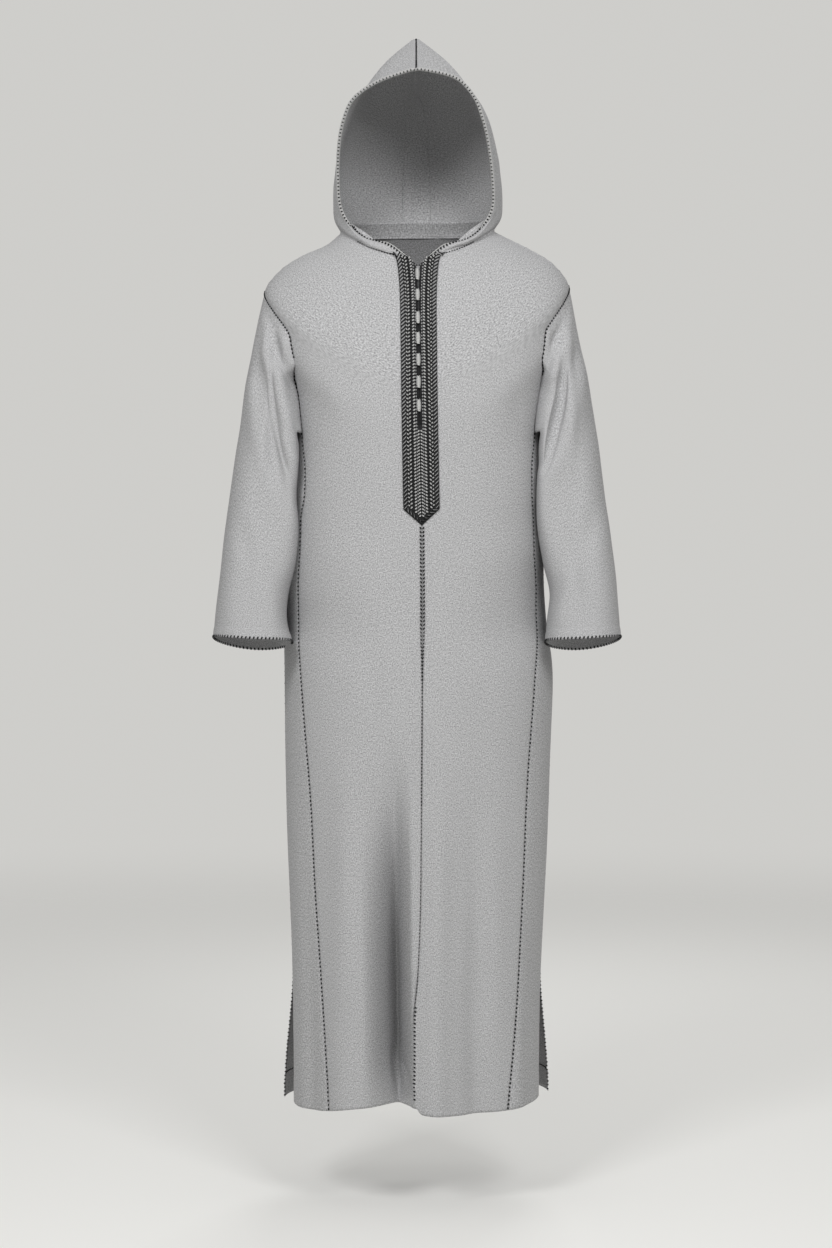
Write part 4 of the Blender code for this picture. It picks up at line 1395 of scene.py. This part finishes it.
loop_groups = []
for knot_z, loop_z in BUTTONS:
    # The dark core of the knot, which shows between its turns.
    z = knot_z - KNOT_DROP + np.array([1.0, 0.0, -1.0])
    centre, out = over_centre(z, KNOT_ASIDE, KNOT_HEIGHT)
    axis = unit(np.gradient(centre, axis=0))
    loop_groups.append((centre[1:2], axis[1:2], out[1:2], 16.0, 6.6, 5.2))
    for sideways in (-2.5, 1.4):
        z = np.linspace(loop_z + LOOP_REACH, loop_z - LOOP_REACH, 20)
        bend = 0.9 * np.sin(np.linspace(0.0, math.pi, 20)) * np.sign(sideways + 0.5)
        line = over_centre(z, sideways + bend, 3.6)
        loop_groups.append(row_of_beads(*line, 2.4, (3.6, 2.1, 2.2), slant=32.0))
loops = beads("loop_cord", loop_groups, dark_yarn)
for number in range(1, len(BUTTONS) + 1):
    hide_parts(f"knot_{number}")
    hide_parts(f"loop_{number}")

# %% The centre braid and the line under it
BRAID_THINS_Z = -612.0
# top z, foot z, steps, distance from the seam, height, pitch, bead size, slant
BRAID_PARTS = (
    (BAND_POINT_Z - 1.0, BRAID_THINS_Z, 160, 2.2, 1.3, 6.0, (4.6, 3.0, 2.0), 36.0),
    (BRAID_THINS_Z, -690.0, 60, 2.2, 1.2, 5.6, (3.8, 2.4, 1.7), 30.0),
    (-690.0, -880.0, 100, 0.0, 0.5, 5.2, (3.2, 2.3, 1.7), 0.0),
    (-880.0, SLIT_TOP_Z, 200, 0.0, 0.1, 5.6, (2.8, 1.5, 1.2), 0.0),
)
braid_groups = []
for top_z, foot_z, steps, distance, height, pitch, size, slant in BRAID_PARTS:
    z = np.linspace(top_z, foot_z, steps)
    narrow = distance * (1.0 - 0.85 * ease((BRAID_THINS_Z - z) / 70.0))
    for side in (-1.0, 1.0) if distance else (1.0,):
        line = over_centre(z, side * narrow, height)
        braid_groups.append(row_of_beads(*line, pitch, size, slant=-side * slant))
centre_braid = beads("centre_braid_thread", braid_groups, dark_yarn)
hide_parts("centre_braid")

# %% [markdown]
# The cut of each sheet
#
# Every sheet of cloth keeps its width, its length and its area, as they were measured when it
# was laid, and they are printed with how the sheet is held, because the real pattern isn't known.

SHEETS = {
    "front_panel_right": "hung", "front_panel_left": "hung", "gore_panel_right": "hung",
    "gore_panel_left": "hung", "back_panel": "hung", "sleeve_right_cloth": "hung",
    "sleeve_left_cloth": "hung", "hood_right_cloth": "draped", "hood_left_cloth": "draped",
    "hood_seam_tape": "laid", "neck_band": "hung",
    "placket_right_facing": "laid", "placket_left_facing": "laid",
}
for name, held in SHEETS.items():
    piece = bpy.data.objects[name]
    width, length, area = piece["cut"]
    print(f"{name}: cut {width:.2f} by {length:.2f} m, {area:.3f} square metres, {held}")

# %% [markdown]
# The studio
#
# A plain pale floor lies 0.14 m below the hem, about as in the photograph, and fades into an even pale
# surround. Two large soft lights stand in front, and weaker ones behind and above.

# %% Floor, lights and surround
FLOOR_Z = -1.497
work = bmesh.new()
bmesh.ops.create_circle(work, cap_ends=True, segments=96, radius=9.0)
bmesh.ops.translate(work, verts=work.verts[:], vec=(0.0, 0.0, FLOOR_Z))
floor_mesh = bpy.data.meshes.new("studio_floor")
work.to_mesh(floor_mesh)
work.free()
floor = bpy.data.objects.new("studio_floor", floor_mesh)
bpy.context.scene.collection.objects.link(floor)

floor_finish = bpy.data.materials.new("studio_floor_paint")
start = empty_graph(floor_finish)
place = start.node("ShaderNodeTexCoord", output=3)
far = start.node("ShaderNodeVectorMath", {"operation": "LENGTH"}, {0: place}, output=1)
paint_inputs = {
    "Base Color": (0.6, 0.6, 0.585, 1.0),
    "Roughness": 0.9,
    "Emission Color": (1.0, 0.99, 0.96, 1.0),
    "Emission Strength": 0.27,
}
paint = start.node("ShaderNodeBsdfPrincipled", {}, paint_inputs)
clear = start.node("ShaderNodeBsdfTransparent")
faded = start.node("ShaderNodeMixShader", {}, {0: far.between(1.6, 7.0), 1: paint, 2: clear})
start.node("ShaderNodeOutputMaterial", {}, {"Surface": faded})
floor_mesh.materials.append(floor_finish)

# What the lens sees of the surround is brighter than the light that it sheds.
SURROUND = (0.62, 0.615, 0.595, 1.0)
AMBIENT = 0.42
world = bpy.data.worlds.new("studio_surround")
bpy.context.scene.world = world
start = empty_graph(world)
wall = start.node("ShaderNodeBackground", {}, {"Color": SURROUND, "Strength": 1.0})
dusk = start.node("ShaderNodeBackground", {}, {"Color": SURROUND, "Strength": AMBIENT})
seen = start.node("ShaderNodeLightPath")
surround = start.node("ShaderNodeMixShader", {}, {0: seen, 1: dusk, 2: wall})
start.node("ShaderNodeOutputWorld", {}, {"Surface": surround})


def softbox(name, place, target, width, height, power):
    light = bpy.data.lights.new(name, "AREA")
    light.shape = "RECTANGLE"
    light.size = width
    light.size_y = height
    light.energy = power
    made = bpy.data.objects.new(name, light)
    made.location = place
    made.rotation_euler = (Vector(target) - Vector(place)).to_track_quat("-Z", "Y").to_euler()
    bpy.context.scene.collection.objects.link(made)


softbox("key_light", (-1.3, -3.0, 1.7), (0.0, 0.0, -0.4), 1.0, 1.2, 64.0)
softbox("fill_light", (1.1, -3.0, 1.4), (0.0, 0.0, -0.4), 1.1, 1.3, 55.0)
softbox("back_light", (0.6, 3.0, 1.3), (0.0, 0.0, -0.5), 1.4, 1.6, 34.0)
softbox("top_light", (0.0, -0.6, 2.6), (0.0, 0.0, -0.6), 2.4, 2.4, 9.0)

# %% [markdown]
# The camera
#
# The photograph looks level, from about hip height, and its distance is assumed to be 4.2 m. The lens then
# follows from the scale: 1.58 mm of real size to a pixel of the 1248 pixel high frame, at the robe.

# %% The camera
FRAME_HEIGHT = 1248
METRES_PER_PIXEL = 0.00158
CAMERA_DISTANCE = 4.2
CAMERA_HEIGHT = -0.602
lens = bpy.data.cameras.new("studio_camera")
lens.sensor_fit = "VERTICAL"
lens.sensor_height = 36.0
lens.lens = lens.sensor_height * CAMERA_DISTANCE / (FRAME_HEIGHT * METRES_PER_PIXEL)
camera = bpy.data.objects.new("studio_camera", lens)
camera.location = (0.0, -CAMERA_DISTANCE, CAMERA_HEIGHT)
camera.rotation_euler = (math.pi / 2.0, 0.0, 0.0)
bpy.context.scene.collection.objects.link(camera)
bpy.context.scene.camera = camera
bpy.context.scene.view_settings.view_transform = "Standard"
print("lens", round(lens.lens, 1), "mm")
